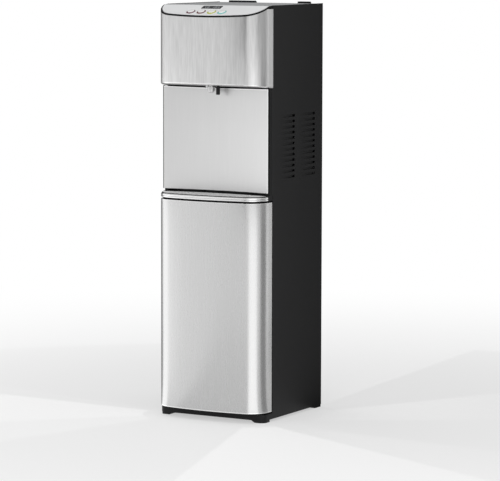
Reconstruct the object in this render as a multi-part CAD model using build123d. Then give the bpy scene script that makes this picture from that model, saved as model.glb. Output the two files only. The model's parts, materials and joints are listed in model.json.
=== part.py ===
from build123d import *
from math import atan2, cos, degrees, hypot, radians, sin, sqrt, tan
import os

# A floor-standing bottleless water dispenser. Millimetres, +Z up, the front faces -Y.
# The origin is on the floor under the middle of the overall box.

# Overall size
width = 304.8
depth = 342.9
height = 1041.4

# Sheet and wall thicknesses
sheet = 0.8
skin = 0.8
shelf_sheet = 1.0
wall = 2.5
fit_gap = 0.2
seat_gap = 0.3
bearing_gap = 0.05

# The curved front, seen from above
crown_radius = 740.0
corner_radius = 56.0
bulge = 37.0
door_depth = 75.0
frame_setback = 41.5
frame_depth = 8.5
condenser_stand_out = 4.3
rear_recess = 18.0

# Heights: the lower ones from the floor, the upper ones down from the top
foot_height = 6.0
base_height = 15.0
door_lift = 4.0
band_gap = 4.4
band_height = 12.5
bay_gap = 6.5
bay_drop = 465.4
head_drop = 196.4
underside_fall = 7.2
deck_front_drop = 26.4
deck_run = 60.0
cover_recess = 1.2
fascia_end_drop = 8.8

# Places that follow from the sizes above
half = width / 2
front_y = -depth / 2
base_front_y = front_y + bulge
door_rear_y = front_y + door_depth
frame_front_y = base_front_y + frame_setback
frame_rear_y = frame_front_y + frame_depth
side_rear_y = depth / 2 - condenser_stand_out
rear_panel_y = side_rear_y - rear_recess
base_top = foot_height + base_height
door_bottom = base_top + door_lift
bay_bottom = height - bay_drop
band_top = bay_bottom - bay_gap
band_bottom = band_top - band_height
door_top = band_bottom - band_gap
head_front_bottom = height - head_drop
deck_front_height = height - deck_front_drop
fascia_end_height = height - fascia_end_drop
cover_top = height - cover_recess
deck_rise = cover_top - deck_front_height
deck_pitch = degrees(atan2(deck_rise, deck_run))
deck_length = hypot(deck_rise, deck_run)
inner_half = half - sheet

# Head
hem_width = 4.0
trim_height = 2.2
trim_width = 2.6
shell_gap = skin + fit_gap
ledge_width = 5.0

# Bay panel and drip tray
bay_setback = 18.4
bay_dish = 15.0
bay_edge_gap = 1.0
bay_flange = 8.0
cheek_width = 10.0
band_end_setback = 18.0
tray_rear_gap = 3.0
tray_floor = 1.5
tray_wall = 1.8
grille_thickness = 1.2
grille_recess = 0.3
grille_edge_gap = 3.4
slot_width = 6.0
slot_length = 11.0
slot_pitch_x = 14.0
slot_pitch_y = 16.0
slot_rows = 3
support_thickness = 1.8
support_inset = 4.0
cheek_gap = 0.5

# Front frame
post_width = 16.0
sill_height = 18.0
mid_rail_height = 20.0
top_rail_height = 14.0
groove_width = 1.2
groove_depth = 1.0

# Door
door_wall = 2.5
door_hem = 4.0
rib_thickness = 2.0
rib_count = 2
pivot_inset = 8.0
pivot_setback = 9.0
pin_radius = 3.0
pin_length = 15.0
boss_radius = 6.0
boss_length = 20.0
bracket_thickness = 1.8
bracket_width = 22.0
bracket_reach = 7.0
collar_radius = 5.0
collar_height = 1.7
magnet_width = 12.0
magnet_height = 34.0
magnet_depth = 5.0
magnet_inset = 79.0
strike_thickness = 1.5
strike_margin = 4.0
bracket_inset = 2.0
bracket_fold = 16.0

# Base and feet
base_corner_radius = 32.0
base_floor = 3.0
foot_length = 38.0
foot_depth = 30.0
foot_taper = 10.0

# Side panel louvres: pockets pressed inwards, deepest and open at their rear ends
louvre_height = 8.0
louvre_depth = 5.0
louvre_count = 12
louvre_rise = 42.0
louvre_drop = 17.1
louvre_front_gap = 28.0
louvre_middle_gap = 31.0
louvre_rear_gap = 22.6
panel_return = 10.0

# Control panel, measured on its slope
deck_thickness = 2.5
button_radius = 11.7
button_gap = 0.3
button_pitch = 29.8
button_row_gap = 7.4
button_row_shift = -6.9
button_crown = 2.0
button_rim = 0.6
button_flange = 1.5
button_stem = 4.0
button_bevel = 5.0
button_travel = 1.2
board_drop = 12.0
board_thickness = 1.6
board_length = 130.0
board_depth = 50.0
board_lead = 14.4
switch_size = 12.0
window_length = 56.0
window_depth = 17.5
window_back_gap = 4.1
window_thickness = 2.0
window_ledge = 1.8
window_shift = -5.3

# Outlets
outlet_setback = 12.0
cold_outlet_x = -8.0
hot_outlet_x = 11.6
cold_outlet_radius = 9.4
cold_outlet_drop = 16.5
hot_outlet_radius = 5.0
hot_outlet_drop = 21.0
outlet_lip = 0.75
outlet_bore = 3.0
outlet_shank = 14.0

# Partition, shelves and filters
compressor_bay = 128.6
lower_shelf_lift = 6.0
upper_shelf_drop = 253.4
shelf_flange = 10.0
filter_radius = 31.0
filter_height = 250.0
filter_foot = 8.0
filter_shoulder = 4.0
filter_spacing = 124.0
filter_to_partition = 18.5
filter_top_drop = 96.0
neck_radius = 20.0
neck_height = 18.0
lug_reach = 3.0
lug_height = 4.0
head_radius = 30.0
head_height = 34.0
bracket_sheet = 2.0
bracket_upstand = 16.0

# Tanks
hot_tank_stand = 9.0
hot_tank_headroom = 47.0
tank_step = 12.0
cold_tank_height = 180.0
jacket_height = 108.0
jacket_lift = 11.0
insulation_gap = 20.8
round_sides = 32
tank_sheet = 1.0
tank_edge = 6.0
jacket_thickness = 2.5
insulation_wall = 24.0
insulation_floor = 14.0
insulation_roof = 20.0
heater_lift = 20.0
heater_drop = 60.0
heater_thickness = 3.2
thermostat_radius = 8.0
thermostat_depth = 9.0
thermostat_drop = 30.0

# Tubes
water_tube_radius = 3.2
water_bend = 8.0
tube_clearance = 1.5
corridor = 30.0
rear_corridor = 9.0
front_corridor = 9.5
suction_x = 50.0
capillary_x = 36.0
cold_drain_start = -30.0
tank_inlet_inset = 27.0
hot_port_inset = 22.0
tank_inlet_shift = 20.0
over_tank = 8.0
port_rise = 22.0
port_spread = 14.0

# Refrigeration
compressor_radius = 54.0
compressor_height = 138.0
compressor_plate = 3.0
compressor_plate_length = 160.0
compressor_plate_depth = 100.0
compressor_shift = -40.0
compressor_offset = 2.0
shoulder_height = 22.0
shoulder_width = 14.0
seam_rise = 76.0
seam_width = 4.0
seam_reach = 2.0
terminal_reach = 14.0
terminal_width = 36.0
terminal_height = 40.0
terminal_rise = 30.0
stud_spacing_x = 136.0
stud_spacing_y = 76.0
seat_height = 5.0
grommet_height = 14.0
grommet_radius = 9.0
stud_radius = 3.0
condenser_tube_radius = 2.4
wire_radius = 0.75
condenser_runs = 9
condenser_lift = 94.0
condenser_drop = 174.0
condenser_tail = 40.0
rail_height = 12.0
rail_sheet = 1.5
condenser_half = 72.0
wire_count = 15
line_bend = 10.0
suction_radius = 3.2
suction_rise = 44.0
capillary_radius = 1.2
drier_radius = 9.0
drier_length = 90.0

# Control box
control_box_length = 140.0
control_box_height = 120.0
control_box_depth = 36.0
control_box_shift = 37.5
fin_count = 9
fin_pitch = 14.0
fin_width = 3.0
fin_height = 96.0
fin_reach = 4.0

# Rear fittings
rear_panel_bottom = 236.0
fitting_rise = 26.0
cord_inset = 28.4
inlet_body = 5.8
gland_body = 7.8
inlet_bore_radius = 3.2
inlet_bore_depth = 16.0
gland_bore_radius = 4.1
drain_inset = 24.4
drain_rise = 23.0
drain_radius = 7.0
drain_bore = 4.0
cap_wall = 3.0
switch_drop = 41.4
switch_x = -70.0
switch_spacing = 24.0
rocker_width = 18.0
rocker_height = 22.0
rocker_tilt = 10.0
rocker_pin_radius = 1.5
clip_rise = 3.6
clip_depth = 12.0
wide_clip = 75.0
narrow_clip = 32.0
clip_inset = 35.0
clip_thickness = 2.5
clip_hook = 10.0


def block(x0, x1, y0, y1, z0, z1):
    """A box between two opposite corners."""
    centre = Pos((x0 + x1) / 2, (y0 + y1) / 2, (z0 + z1) / 2)
    return centre * Box(x1 - x0, y1 - y0, z1 - z0)


def bar(start, end, radius):
    """A round bar from one point to another."""
    first = Vector(*start)
    run = Vector(*end) - first
    return extrude(Plane(origin=first, z_dir=run) * Circle(radius), run.length)


def flat_bar(start, end, radius, sides=12):
    """A bar with many flat sides, just inside a round one."""
    first = Vector(*start)
    run = Vector(*end) - first
    return extrude(Plane(origin=first, z_dir=run) * RegularPolygon(radius, sides), run.length)


def flat_hole(start, end, radius, sides=12):
    """The space of a round hole, with many flat sides that touch the circle from outside."""
    first = Vector(*start)
    run = Vector(*end) - first
    section = RegularPolygon(radius, sides, major_radius=False)
    return extrude(Plane(origin=first, z_dir=run) * section, run.length)


def turned(x, y, stops, sides):
    """A flat-sided turned shape on an upright axis, through (height, radius) stops."""
    rings = [Pos(x, y, z) * RegularPolygon(radius, sides) for z, radius in stops]
    return loft(rings, ruled=True)


def tank_ring(z0, z1, outer, inner):
    """A flat-sided ring round the tanks' axis."""
    solid = turned(0, tank_y, [(z0, outer), (z1, outer)], round_sides)
    return solid - turned(0, tank_y, [(z0, inner), (z1, inner)], round_sides)


def bend_stops(before, corner, after, bend):
    """Start, middle and end of the round bend at a corner."""
    into = (corner - before).normalized()
    out = (after - corner).normalized()
    turn = radians(into.get_angle(out)) / 2
    inward = (out - into).normalized()
    middle = corner + inward * (bend / cos(turn) - bend)
    return [corner - into * (bend * tan(turn)), middle, corner + out * (bend * tan(turn))]


def pipe(points, radius, bend):
    """A slim eight-sided tube whose bends are made of short straight steps."""
    corners = [Vector(*point) for point in points]
    stops = corners[:1]
    for i in range(1, len(corners) - 1):
        stops += bend_stops(corners[i - 1], corners[i], corners[i + 1], bend)
    route = Polyline(*stops, corners[-1])
    section = Plane(origin=route @ 0, z_dir=route % 0) * RegularPolygon(radius, 8)
    return sweep(section, path=route, transition=Transition.RIGHT)


def mirrored(shape):
    """The same shape on the other side of the middle plane."""
    return mirror(shape, about=Plane.YZ)


def front_plan(inset):
    """Plan of the curved front: a shallow crown between two round corners."""
    edge = half - inset
    nose = front_y + inset
    crown = crown_radius - inset
    shoulder = nose + crown - sqrt(crown**2 - edge**2)
    outline = [
        Line((-edge, frame_rear_y), (-edge, shoulder)),
        ThreePointArc((-edge, shoulder), (0, nose), (edge, shoulder)),
        Line((edge, shoulder), (edge, frame_rear_y)),
        Line((edge, frame_rear_y), (-edge, frame_rear_y)),
    ]
    face = make_face(outline)
    return fillet(face.vertices().sort_by(Axis.Y)[:2], corner_radius - inset)


def front_solid(inset, z0, z1, back_y):
    """The curved plan raised from z0 to z1 and cut off square at back_y."""
    body = extrude(Pos(0, 0, z0) * front_plan(inset), z1 - z0)
    return body & block(-half, half, front_y, back_y, z0, z1)


def side_prism(points):
    """A prism right across the product, with its outline given as (y, z)."""
    return extrude(Plane.YZ * Polygon(*points, align=None), half, both=True)


def underside(y):
    """Height of the head's sloping underside."""
    return head_front_bottom - tan(radians(underside_fall)) * (y - front_y)


def deck_height(y):
    """Height of the sloping control panel's face."""
    return deck_front_height + tan(radians(deck_pitch)) * (y - front_y)


def deck_y(z):
    """Where the sloping face reaches a height."""
    return front_y + (z - deck_front_height) / tan(radians(deck_pitch))


def head_profile(lift, drop, end_top):
    """Side view of the head between its underside and its slope, level at end_top behind."""
    level_y = deck_y(end_top + drop)
    return side_prism([
        (front_y, underside(front_y) + lift),
        (frame_front_y, underside(frame_front_y) + lift),
        (frame_front_y, end_top),
        (level_y, end_top),
        (front_y, deck_height(front_y) - drop),
    ])


def above_underside(lift):
    """Everything in the head above its underside."""
    top = height + wall
    return side_prism([
        (front_y, underside(front_y) + lift),
        (frame_rear_y, underside(frame_rear_y) + lift),
        (frame_rear_y, top),
        (front_y, top),
    ])


def deck_plane():
    """Work plane on the slope: x to the right, y up the slope, z out of the face."""
    tilt = radians(deck_pitch)
    return Plane(origin=(0, front_y, deck_front_height), x_dir=(1, 0, 0), z_dir=(0, -sin(tilt), cos(tilt)))


def button_places():
    """Places of the four buttons along their row, left to right."""
    return [button_row_shift + (i - 1.5) * button_pitch for i in range(4)]


bay_front_y = base_front_y + bay_setback
bay_half = half - bay_edge_gap
bay_radius = (bay_half**2 + bay_dish**2) / (2 * bay_dish)
bay_centre_y = bay_front_y + bay_dish - bay_radius
band_end_y = base_front_y + band_end_setback
pivot_x = -half + pivot_inset
pivot_y = door_rear_y - pivot_setback
partition_y = side_rear_y - compressor_bay
filter_y = partition_y - filter_radius - filter_to_partition
lower_shelf_z = bay_bottom + lower_shelf_lift
upper_shelf_z = height - upper_shelf_drop
tank_y = (frame_rear_y + rear_panel_y) / 2
insulation_half = (rear_panel_y - frame_rear_y) / 2 - insulation_gap
cold_tank_radius = insulation_half - insulation_wall
hot_tank_radius = cold_tank_radius - tank_step
tank_inlet_x = cold_tank_radius - tank_inlet_inset
tube_hole_radius = water_tube_radius + tube_clearance
corridor_x = half - corridor
rear_corridor_y = rear_panel_y - rear_corridor
front_tube_y = frame_rear_y + front_corridor
riser_y = tank_y - tank_inlet_shift
outlet_y = base_front_y + outlet_setback
hot_bottom = lower_shelf_z + hot_tank_stand
hot_top = upper_shelf_z - hot_tank_headroom
cold_drain_z = hot_top + port_rise / 2
drain_x = half - drain_inset
drain_z = lower_shelf_z + drain_rise
cord_x = half - cord_inset
fitting_z = rear_panel_bottom + fitting_rise
switch_z = height - switch_drop
louvre_base = bay_bottom + louvre_rise
louvre_pitch = (upper_shelf_z - louvre_drop - louvre_base) / (louvre_count - 1)
louvre_gaps = louvre_front_gap + louvre_middle_gap + louvre_rear_gap
louvre_length = (rear_panel_y - frame_rear_y - louvre_gaps) / 2
louvre_column_pitch = louvre_length + louvre_middle_gap
window_start = deck_length - window_back_gap - window_depth
button_row = window_start - button_row_gap - button_radius
board_start = button_row - board_lead
inlet_x = filter_spacing / 2 + port_spread
cover_half = half - trim_width - seat_gap
cover_bottom = cover_top - wall
valve_drop = 121.4
valve_z = height - valve_drop
valve_size = 24.0
valve_cap = 3.0
valve_coil = 27.0
valve_xs = {"room": -corridor_x, "cold": -36.0, "hot": 38.0}
valve_inlet_z = valve_z + valve_size / 2
wall_front_y = frame_rear_y - wall


def dished(radius_change, z0, z1):
    """A disc whose rim is the dished line of the bay panel."""
    disc = Circle(bay_radius + radius_change)
    return extrude(Pos(0, bay_centre_y, z0) * disc, z1 - z0)


def base_plan(inset):
    """Plan of the base: flat front, round front corners."""
    back = side_rear_y - inset
    front = base_front_y + inset
    edge = half - inset
    face = Pos(0, (front + back) / 2) * Rectangle(2 * edge, back - front)
    return fillet(face.vertices().sort_by(Axis.Y)[:2], base_corner_radius - inset)


def make_base_moulding():
    """Floor pan with a hollow front plinth and four seats for the compressor."""
    solid = extrude(Pos(0, 0, foot_height) * base_plan(0), base_height)
    side_slot = block(inner_half - fit_gap, half, frame_rear_y, side_rear_y, 0, base_top)
    solid -= side_slot + mirrored(side_slot)
    pan = block(-inner_half + wall + 1, inner_half - wall - 1, frame_rear_y + wall,
                side_rear_y - wall, foot_height + base_floor, base_top)
    solid -= pan
    plinth = extrude(Pos(0, 0, foot_height) * base_plan(wall), base_height - wall)
    plinth &= block(-half, half, base_front_y, frame_rear_y - wall, 0, base_top)
    solid -= plinth
    for x in (-half / 2, 0, half / 2):
        solid += block(x - 1, x + 1, base_front_y + wall / 2, frame_rear_y - wall / 2,
                       foot_height, base_top - wall / 2)
    for x, y in compressor_studs():
        floor = foot_height + base_floor
        solid += flat_bar((x, y, floor), (x, y, floor + seat_height), grommet_radius)
    return solid


def make_feet():
    """Four blocks under the corners, each tapered towards the middle."""
    feet = []
    for y0 in (base_front_y, side_rear_y - foot_depth):
        outline = Polygon((half - foot_length, foot_height), (half - foot_length + foot_taper, 0),
                          (half, 0), (half, foot_height), align=None)
        foot = extrude(Plane.XZ * outline, -foot_depth)
        foot = Pos(0, y0, 0) * foot
        foot &= extrude(base_plan(sheet), foot_height)
        feet += [foot, mirrored(foot)]
    return feet


def louvre_wedge(front_depth, rear_depth, tall):
    """A wedge along +Y that goes inwards from the outer face, deepest at the rear."""
    outline = Polygon((0, 0), (0, louvre_length), (-rear_depth, louvre_length), (-front_depth, 0), align=None)
    return extrude(outline, tall / 2, both=True)


def louvre_places():
    """Front end and middle height of every louvre on a side panel."""
    first = frame_rear_y + louvre_front_gap
    return [
        (first + column * louvre_column_pitch, louvre_base + row * louvre_pitch)
        for column in range(2)
        for row in range(louvre_count)
    ]


def make_side_panel():
    """Right-hand side panel with folded front and rear edges and pressed louvres."""
    bottom = foot_height
    panel = block(inner_half, half, frame_rear_y, side_rear_y, bottom, height)
    inner = inner_half - panel_return
    low = base_top + fit_gap
    high = cover_bottom - wall - shelf_flange - seat_gap
    panel += block(inner, half, frame_rear_y, frame_rear_y + sheet, low, high)
    panel += block(inner, half, side_rear_y - sheet, side_rear_y, low, high)
    ramps = []
    pockets = []
    for y, z in louvre_places():
        place = Pos(half, y, z)
        ramps.append(place * louvre_wedge(sheet, louvre_depth, louvre_height))
        pockets.append(place * louvre_wedge(0, louvre_depth - sheet, louvre_height - 2 * sheet))
    return panel + ramps - pockets


def make_rear_panel():
    """Recessed back sheet with rearward side folds and holes for the fittings."""
    edge = inner_half - fit_gap
    y0, y1 = rear_panel_y, rear_panel_y + sheet
    top = cover_bottom - seat_gap
    panel = block(-edge, edge, y0, y1, rear_panel_bottom, top)
    fold = block(edge - sheet, edge, y0, y1 + shelf_flange, rear_panel_bottom, top)
    panel += fold + mirrored(fold)
    holes = [(inlet_x, fitting_z, inlet_body + fit_gap), (-cord_x, fitting_z, gland_body + fit_gap)]
    holes += [(x, z, drain_radius + fit_gap) for x, z in drain_places()]
    for x, z, radius in holes:
        panel -= flat_hole((x, y0 - 1, z), (x, y1 + 1, z), radius, 16)
    w, h = switch_window()
    panel -= block(switch_x - w, switch_x + w, y0 - 1, y1 + 1, switch_z - h, switch_z + h)
    return panel


def make_top_cover():
    """Flat top moulding with skirts, let in between the side panels."""
    y0 = deck_y(cover_top) + seat_gap
    y1 = side_rear_y - sheet - seat_gap
    cover = block(-cover_half, cover_half, y0, y1, cover_bottom, cover_top)
    cover = fillet(cover.edges().group_by(Axis.Z)[-1], 0.8)
    low = cover_bottom - 14
    cover += block(-cover_half + 8, cover_half - 8, rear_panel_y - fit_gap - wall,
                   rear_panel_y - fit_gap, low, cover_bottom)
    side = block(cover_half - 2 * wall, cover_half - wall, frame_rear_y + 3 * wall,
                 rear_panel_y - wall, low, cover_bottom)
    cover += side + mirrored(side)
    return cover


def make_rear_clips():
    """Two low clips that hook over the rear edge of the top cover."""
    clips = []
    rear = side_rear_y
    for x0, length in ((-half + clip_inset, wide_clip), (half - clip_inset - narrow_clip, narrow_clip)):
        top = block(x0, x0 + length, rear - clip_depth, rear, cover_top, cover_top + clip_rise + cover_recess)
        top = fillet(top.edges().group_by(Axis.Z)[-1], 1.0)
        tab_top = cover_top + wall
        top += block(x0, x0 + length, rear - sheet, rear + clip_thickness, cover_bottom - clip_hook, tab_top)
        clips.append(top)
    return clips


def bracket_envelope(z0, gap):
    """The space that a hinge bracket's plate takes through the front frame."""
    x0 = -half + bracket_inset - gap
    x1 = -half + bracket_inset + bracket_width + gap
    return block(x0, x1, frame_front_y - 1, frame_rear_y + 1, z0 - gap, z0 + bracket_thickness + gap)


upper_bracket_z = door_top + 0.6
lower_bracket_z = base_top


def make_front_frame():
    """Black moulding: posts and rails round the door, cheeks and back wall behind the bay."""
    top = height
    y0, y1 = frame_front_y, frame_rear_y
    frame = block(half - post_width, half, y0, y1, base_top, top)
    frame += mirrored(frame)
    frame += block(-half, half, y0, y1, base_top, base_top + sill_height)
    frame += block(-half, half, y0, y1, door_top - mid_rail_height, bay_bottom + mid_rail_height / 2)
    frame += block(-half, half, y0, y1, cover_bottom - top_rail_height, top)
    frame += block(-half, half, wall_front_y, y1, bay_bottom, top)
    cheek_bottom = band_top + fit_gap
    cheek_front = bay_front_y + bay_flange + seat_gap
    cheek = block(half - cheek_width, half, cheek_front, y0, cheek_bottom, underside(y0) - fit_gap)
    groove_y = (cheek_front + y0) / 2 - groove_width
    cheek -= block(half - groove_depth, half, groove_y, groove_y + groove_width, 0, top)
    frame += cheek + mirrored(cheek)
    frame -= block(-cover_half - seat_gap, cover_half + seat_gap, y0 - 1, y1 + 1, cover_bottom, top + 1)
    frame -= bracket_envelope(upper_bracket_z, fit_gap)
    frame -= bracket_envelope(lower_bracket_z, fit_gap)
    for x in valve_xs.values():
        frame -= flat_hole((x, y0, valve_inlet_z), (x, y1 + 1, valve_inlet_z), tube_hole_radius)
    return frame


def make_partition():
    """Sheet between the filter bay and the compressor bay, with folded edges."""
    edge = inner_half - fit_gap
    y = partition_y
    z0 = foot_height + base_floor + seat_gap
    z1 = lower_shelf_z - shelf_sheet
    flange_z = lower_shelf_z - shelf_flange - fit_gap
    edge_low = inner_half - wall - 1 - fit_gap
    plate = block(-edge, edge, y, y + shelf_sheet, base_top + fit_gap, z1)
    plate += block(-edge_low, edge_low, y, y + shelf_sheet, z0, base_top + fit_gap)
    fold = block(edge - shelf_sheet, edge, y, y + shelf_flange, base_top + fit_gap, flange_z)
    plate += fold + mirrored(fold)
    notch = block(edge - shelf_sheet - fit_gap, half, y - 1, y + shelf_flange, flange_z, lower_shelf_z)
    plate -= notch + mirrored(notch)
    hole_x, _, hole_z = inlet_route()[2]
    return plate - flat_hole((hole_x, y - 1, hole_z), (hole_x, y + 2, hole_z), tube_hole_radius)


def shelf(z, holes):
    """A sheet shelf across the upper section, with flanges turned down on all four sides."""
    edge = inner_half - fit_gap
    y0 = frame_rear_y + sheet + fit_gap
    y1 = rear_panel_y - fit_gap
    plate = block(-edge, edge, y0, y1, z - shelf_sheet, z)
    low = z - shelf_flange
    notch = panel_return + sheet
    side = block(edge - shelf_sheet, edge, y0 + notch, y1, low, z)
    plate += side + mirrored(side)
    plate += block(-edge + notch, edge - notch, y0, y0 + shelf_sheet, low, z)
    plate += block(-edge, edge, y1 - shelf_sheet, y1, low, z)
    for x, y, radius in holes:
        plate -= flat_hole((x, y, z - 2), (x, y, z + 1), radius + tube_clearance)
    return plate


def tube_holes():
    """Where tubes cross the shelves: (x, y, tube radius)."""
    return {
        "riser": (-corridor_x, riser_y, water_tube_radius),
        "hot feed": (valve_xs["hot"], front_tube_y, water_tube_radius),
        "tank link": (0, tank_y, water_tube_radius),
        "cold drain": (cold_drain_start, tank_y, water_tube_radius),
        "suction": (suction_x, rear_corridor_y, suction_radius),
        "capillary": (capillary_x, rear_corridor_y, capillary_radius),
    }


def make_lower_shelf():
    """Shelf that carries the hot tank."""
    holes = tube_holes()
    return shelf(lower_shelf_z, [holes[name] for name in ("riser", "suction", "capillary")])


def make_upper_shelf():
    """Shelf that carries the insulated cold tank."""
    return shelf(upper_shelf_z, tube_holes().values())


def make_head_fascia():
    """Curved stainless sheet round the head, its lower edge turned in as a hem."""
    low = underside(frame_rear_y) - 1
    outer = front_solid(0, low, height, frame_front_y)
    outer &= head_profile(0, trim_height, fascia_end_height)
    hollow = front_solid(skin, low, height + 1, frame_rear_y) & above_underside(skin)
    throat = front_solid(hem_width, low - 1, height + 1, frame_rear_y)
    return outer - hollow - throat


def make_head_shell():
    """Moulding behind the fascia: curved wall, sloping floor and outlet holes."""
    low = underside(frame_rear_y) - 1
    outer = front_solid(shell_gap, low, height, frame_front_y)
    top_drop = deck_thickness / cos(radians(deck_pitch))
    outer &= head_profile(shell_gap, top_drop, fascia_end_height - fit_gap)
    hollow = front_solid(shell_gap + wall, low, height + 1, frame_rear_y)
    shell = outer - (hollow & above_underside(shell_gap + wall))
    for x, radius in ((cold_outlet_x, cold_outlet_radius - 3), (hot_outlet_x, hot_outlet_radius - 1)):
        z = underside(outlet_y)
        shell -= flat_hole((x, outlet_y, z - 5), (x, outlet_y, z + 10), radius + fit_gap, 16)
    return shell


def make_head_trim():
    """Black gasket on top of the fascia, wider as a wedge beside the flat top."""
    low = deck_front_height - 10
    outer = front_solid(fit_gap, low, height, frame_front_y)
    inner = front_solid(trim_width, low - 1, height + 1, frame_rear_y)
    band = outer - inner
    above = side_prism([
        (front_y, deck_height(front_y) - trim_height),
        (deck_y(fascia_end_height + trim_height), fascia_end_height),
        (frame_front_y, fascia_end_height),
        (frame_front_y, height),
        (deck_y(height), height),
        (front_y, deck_height(front_y)),
    ])
    return band & above


def make_control_panel():
    """Sloping light panel with four button holes, a window opening and board posts."""
    drop = deck_thickness / cos(radians(deck_pitch))
    y1 = deck_y(cover_top)
    slab = side_prism([
        (front_y, deck_height(front_y)),
        (y1, cover_top),
        (y1, cover_top - drop),
        (front_y, deck_height(front_y) - drop),
    ])
    panel = front_solid(trim_width + fit_gap, deck_front_height - 10, height, frame_front_y) & slab
    deck = deck_plane()
    for x in button_places():
        through = 2 * deck_thickness
        hole = flat_hole((0, 0, -through), (0, 0, through), button_radius + button_gap, round_sides)
        panel -= deck * (Pos(x, button_row, 0) * hole)
    mid = window_start + window_depth / 2
    pocket = Box(window_length + 2 * fit_gap, window_depth + 2 * fit_gap, 2 * window_thickness)
    panel -= deck * (Pos(window_shift, mid, 0) * pocket)
    opening = Box(window_length - 2 * window_ledge, window_depth - 2 * window_ledge, 3 * deck_thickness)
    panel -= deck * (Pos(window_shift, mid, 0) * opening)
    for x, y in board_posts():
        length = board_drop - deck_thickness
        post = Pos(x, y, -deck_thickness - length / 2) * Box(5, 5, length)
        panel += deck * post
    return panel


def board_posts():
    """Posts under the control panel that hold the display board."""
    x = board_length / 2 - 6
    return [(button_row_shift + side * x, board_start + y) for side in (-1, 1) for y in (5, board_depth - 14)]


def make_display_window():
    """Clear dark window let into the control panel."""
    mid = window_start + window_depth / 2
    lens = Pos(window_shift, mid, -window_thickness / 2) * Box(window_length, window_depth, window_thickness)
    return deck_plane() * lens


def make_display_board():
    """Circuit board with its display block and one switch body under each button."""
    deck = deck_plane()
    mid = board_start + board_depth / 2
    top = -board_drop
    board = Pos(button_row_shift, mid, top - board_thickness / 2)
    solids = [deck * (board * Box(board_length, board_depth, board_thickness))]
    display_top = -deck_thickness - seat_gap
    display_height = display_top - top
    display = Box(window_length - 2, window_depth - 2, display_height)
    display_y = window_start + window_depth / 2 - 2
    solids.append(deck * (Pos(window_shift, display_y, top + display_height / 2) * display))
    height_now = board_drop - button_stem_end() + 1.2
    for x in button_places():
        body = Box(switch_size, switch_size, height_now)
        body = Pos(x, button_row, top + height_now / 2) * body
        socket = Box(button_stem + 2 * bearing_gap, button_stem + 2 * bearing_gap, height_now)
        body -= Pos(x, button_row, top + height_now / 2 + 1) * socket
        solids.append(deck * body)
    return solids


def button_stem_end():
    """Depth of the stem's tip below the slope."""
    return board_drop - button_travel - 1.3


def make_button(x):
    """A low crowned button with two catches under the panel and a square stem into its switch."""
    under = -deck_thickness - seat_gap
    top_radius = button_radius - button_bevel
    stops = [(under - 1, button_radius), (button_rim, button_radius), (button_crown, top_radius)]
    cap = turned(0, 0, stops, round_sides)
    tip = -button_stem_end()
    cap += block(-button_stem / 2, button_stem / 2, -button_stem / 2, button_stem / 2, tip, under)
    reach = button_radius + button_flange
    cap += block(-reach, reach, -button_stem, button_stem, under - 1, under)
    return deck_plane() * (Pos(x, button_row, 0) * cap)


def make_outlet(x, radius, drop, shank_radius, taper):
    """A bored outlet that hangs under the head on a shank through its floor."""
    z = underside(outlet_y) + shell_gap
    bottom = underside(outlet_y) - drop
    seat = underside(outlet_y + radius) - seat_gap
    stops = [(bottom, radius - taper), (bottom + taper, radius), (seat, radius)]
    body = turned(x, outlet_y, stops, 24)
    body += flat_bar((x, outlet_y, seat - 1), (x, outlet_y, z + outlet_shank), shank_radius, 16)
    return body - flat_hole((x, outlet_y, bottom - 1), (x, outlet_y, z + outlet_shank - 2), outlet_bore)


def make_valves():
    """Three solenoid valves on the front of the frame's back wall."""
    valves = []
    y1 = wall_front_y
    y0 = y1 - valve_size
    for x in valve_xs.values():
        r = valve_size / 2
        body = block(x - r, x + r, y0, y1, valve_z, valve_z + valve_size)
        body = chamfer(body.edges().filter_by(Axis.Z), 3)
        top = valve_z + valve_size
        coil_z = top + valve_cap
        body += flat_bar((x, y0 + r, top - 1), (x, y0 + r, coil_z), 7.0)
        coil = block(x - r, x + r, y0 - 3, y1 - 3, coil_z, coil_z + valve_coil)
        body += chamfer(coil.edges().filter_by(Axis.Z), 4)
        valves.append(body)
    return valves


def make_bay_panel():
    """Dished stainless sheet with folded side edges, under the head."""
    z1 = underside(frame_front_y)
    sheet_solid = dished(skin, bay_bottom, z1 + 10) - dished(0, bay_bottom - 1, z1 + 11)
    sheet_solid &= block(-bay_half, bay_half, bay_front_y - 5, frame_rear_y, bay_bottom, z1 + 10)
    fold = block(bay_half - skin, bay_half, bay_front_y, bay_front_y + bay_flange, bay_bottom, z1 + 10)
    panel = sheet_solid + fold + mirrored(fold)
    return panel - above_underside(-seat_gap - 0.3)


def make_tray_support():
    """Fixed shelf under the drip tray, and an end cheek on it at each side."""
    z0 = band_bottom - support_thickness
    plate = front_solid(support_inset, z0, band_bottom, frame_front_y)
    cheek_front = band_end_y + seat_gap
    cheek_edge = half - cheek_gap
    cheek = block(half - cheek_width, cheek_edge, cheek_front, frame_front_y, band_bottom, band_top)
    return [plate, cheek, mirrored(cheek)]


def tray_outline(inset, z0, z1):
    """Plan of the drip tray: full width in front, narrower between the support's cheeks."""
    front = front_solid(skin + fit_gap + inset, z0, z1, band_end_y - inset)
    narrow = half - cheek_width - fit_gap - inset
    rear = front_solid(skin + fit_gap + inset, z0, z1, frame_front_y - tray_rear_gap - inset)
    return front + (rear & block(-narrow, narrow, front_y, frame_rear_y, z0, z1))


def grille_plan(inset, z0, z1):
    """Plan of the drip grille: the tray's front and the bay panel's dished line."""
    plate = front_solid(grille_edge_gap + inset, z0, z1, band_end_y - grille_edge_gap)
    middle_half = half - cheek_width - grille_edge_gap
    middle = front_solid(grille_edge_gap + inset, z0, z1, frame_front_y - tray_rear_gap)
    middle &= block(-middle_half, middle_half, front_y, frame_rear_y, z0, z1)
    return (plate + middle) & dished(-2.5 - inset, z0, z1)


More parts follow.
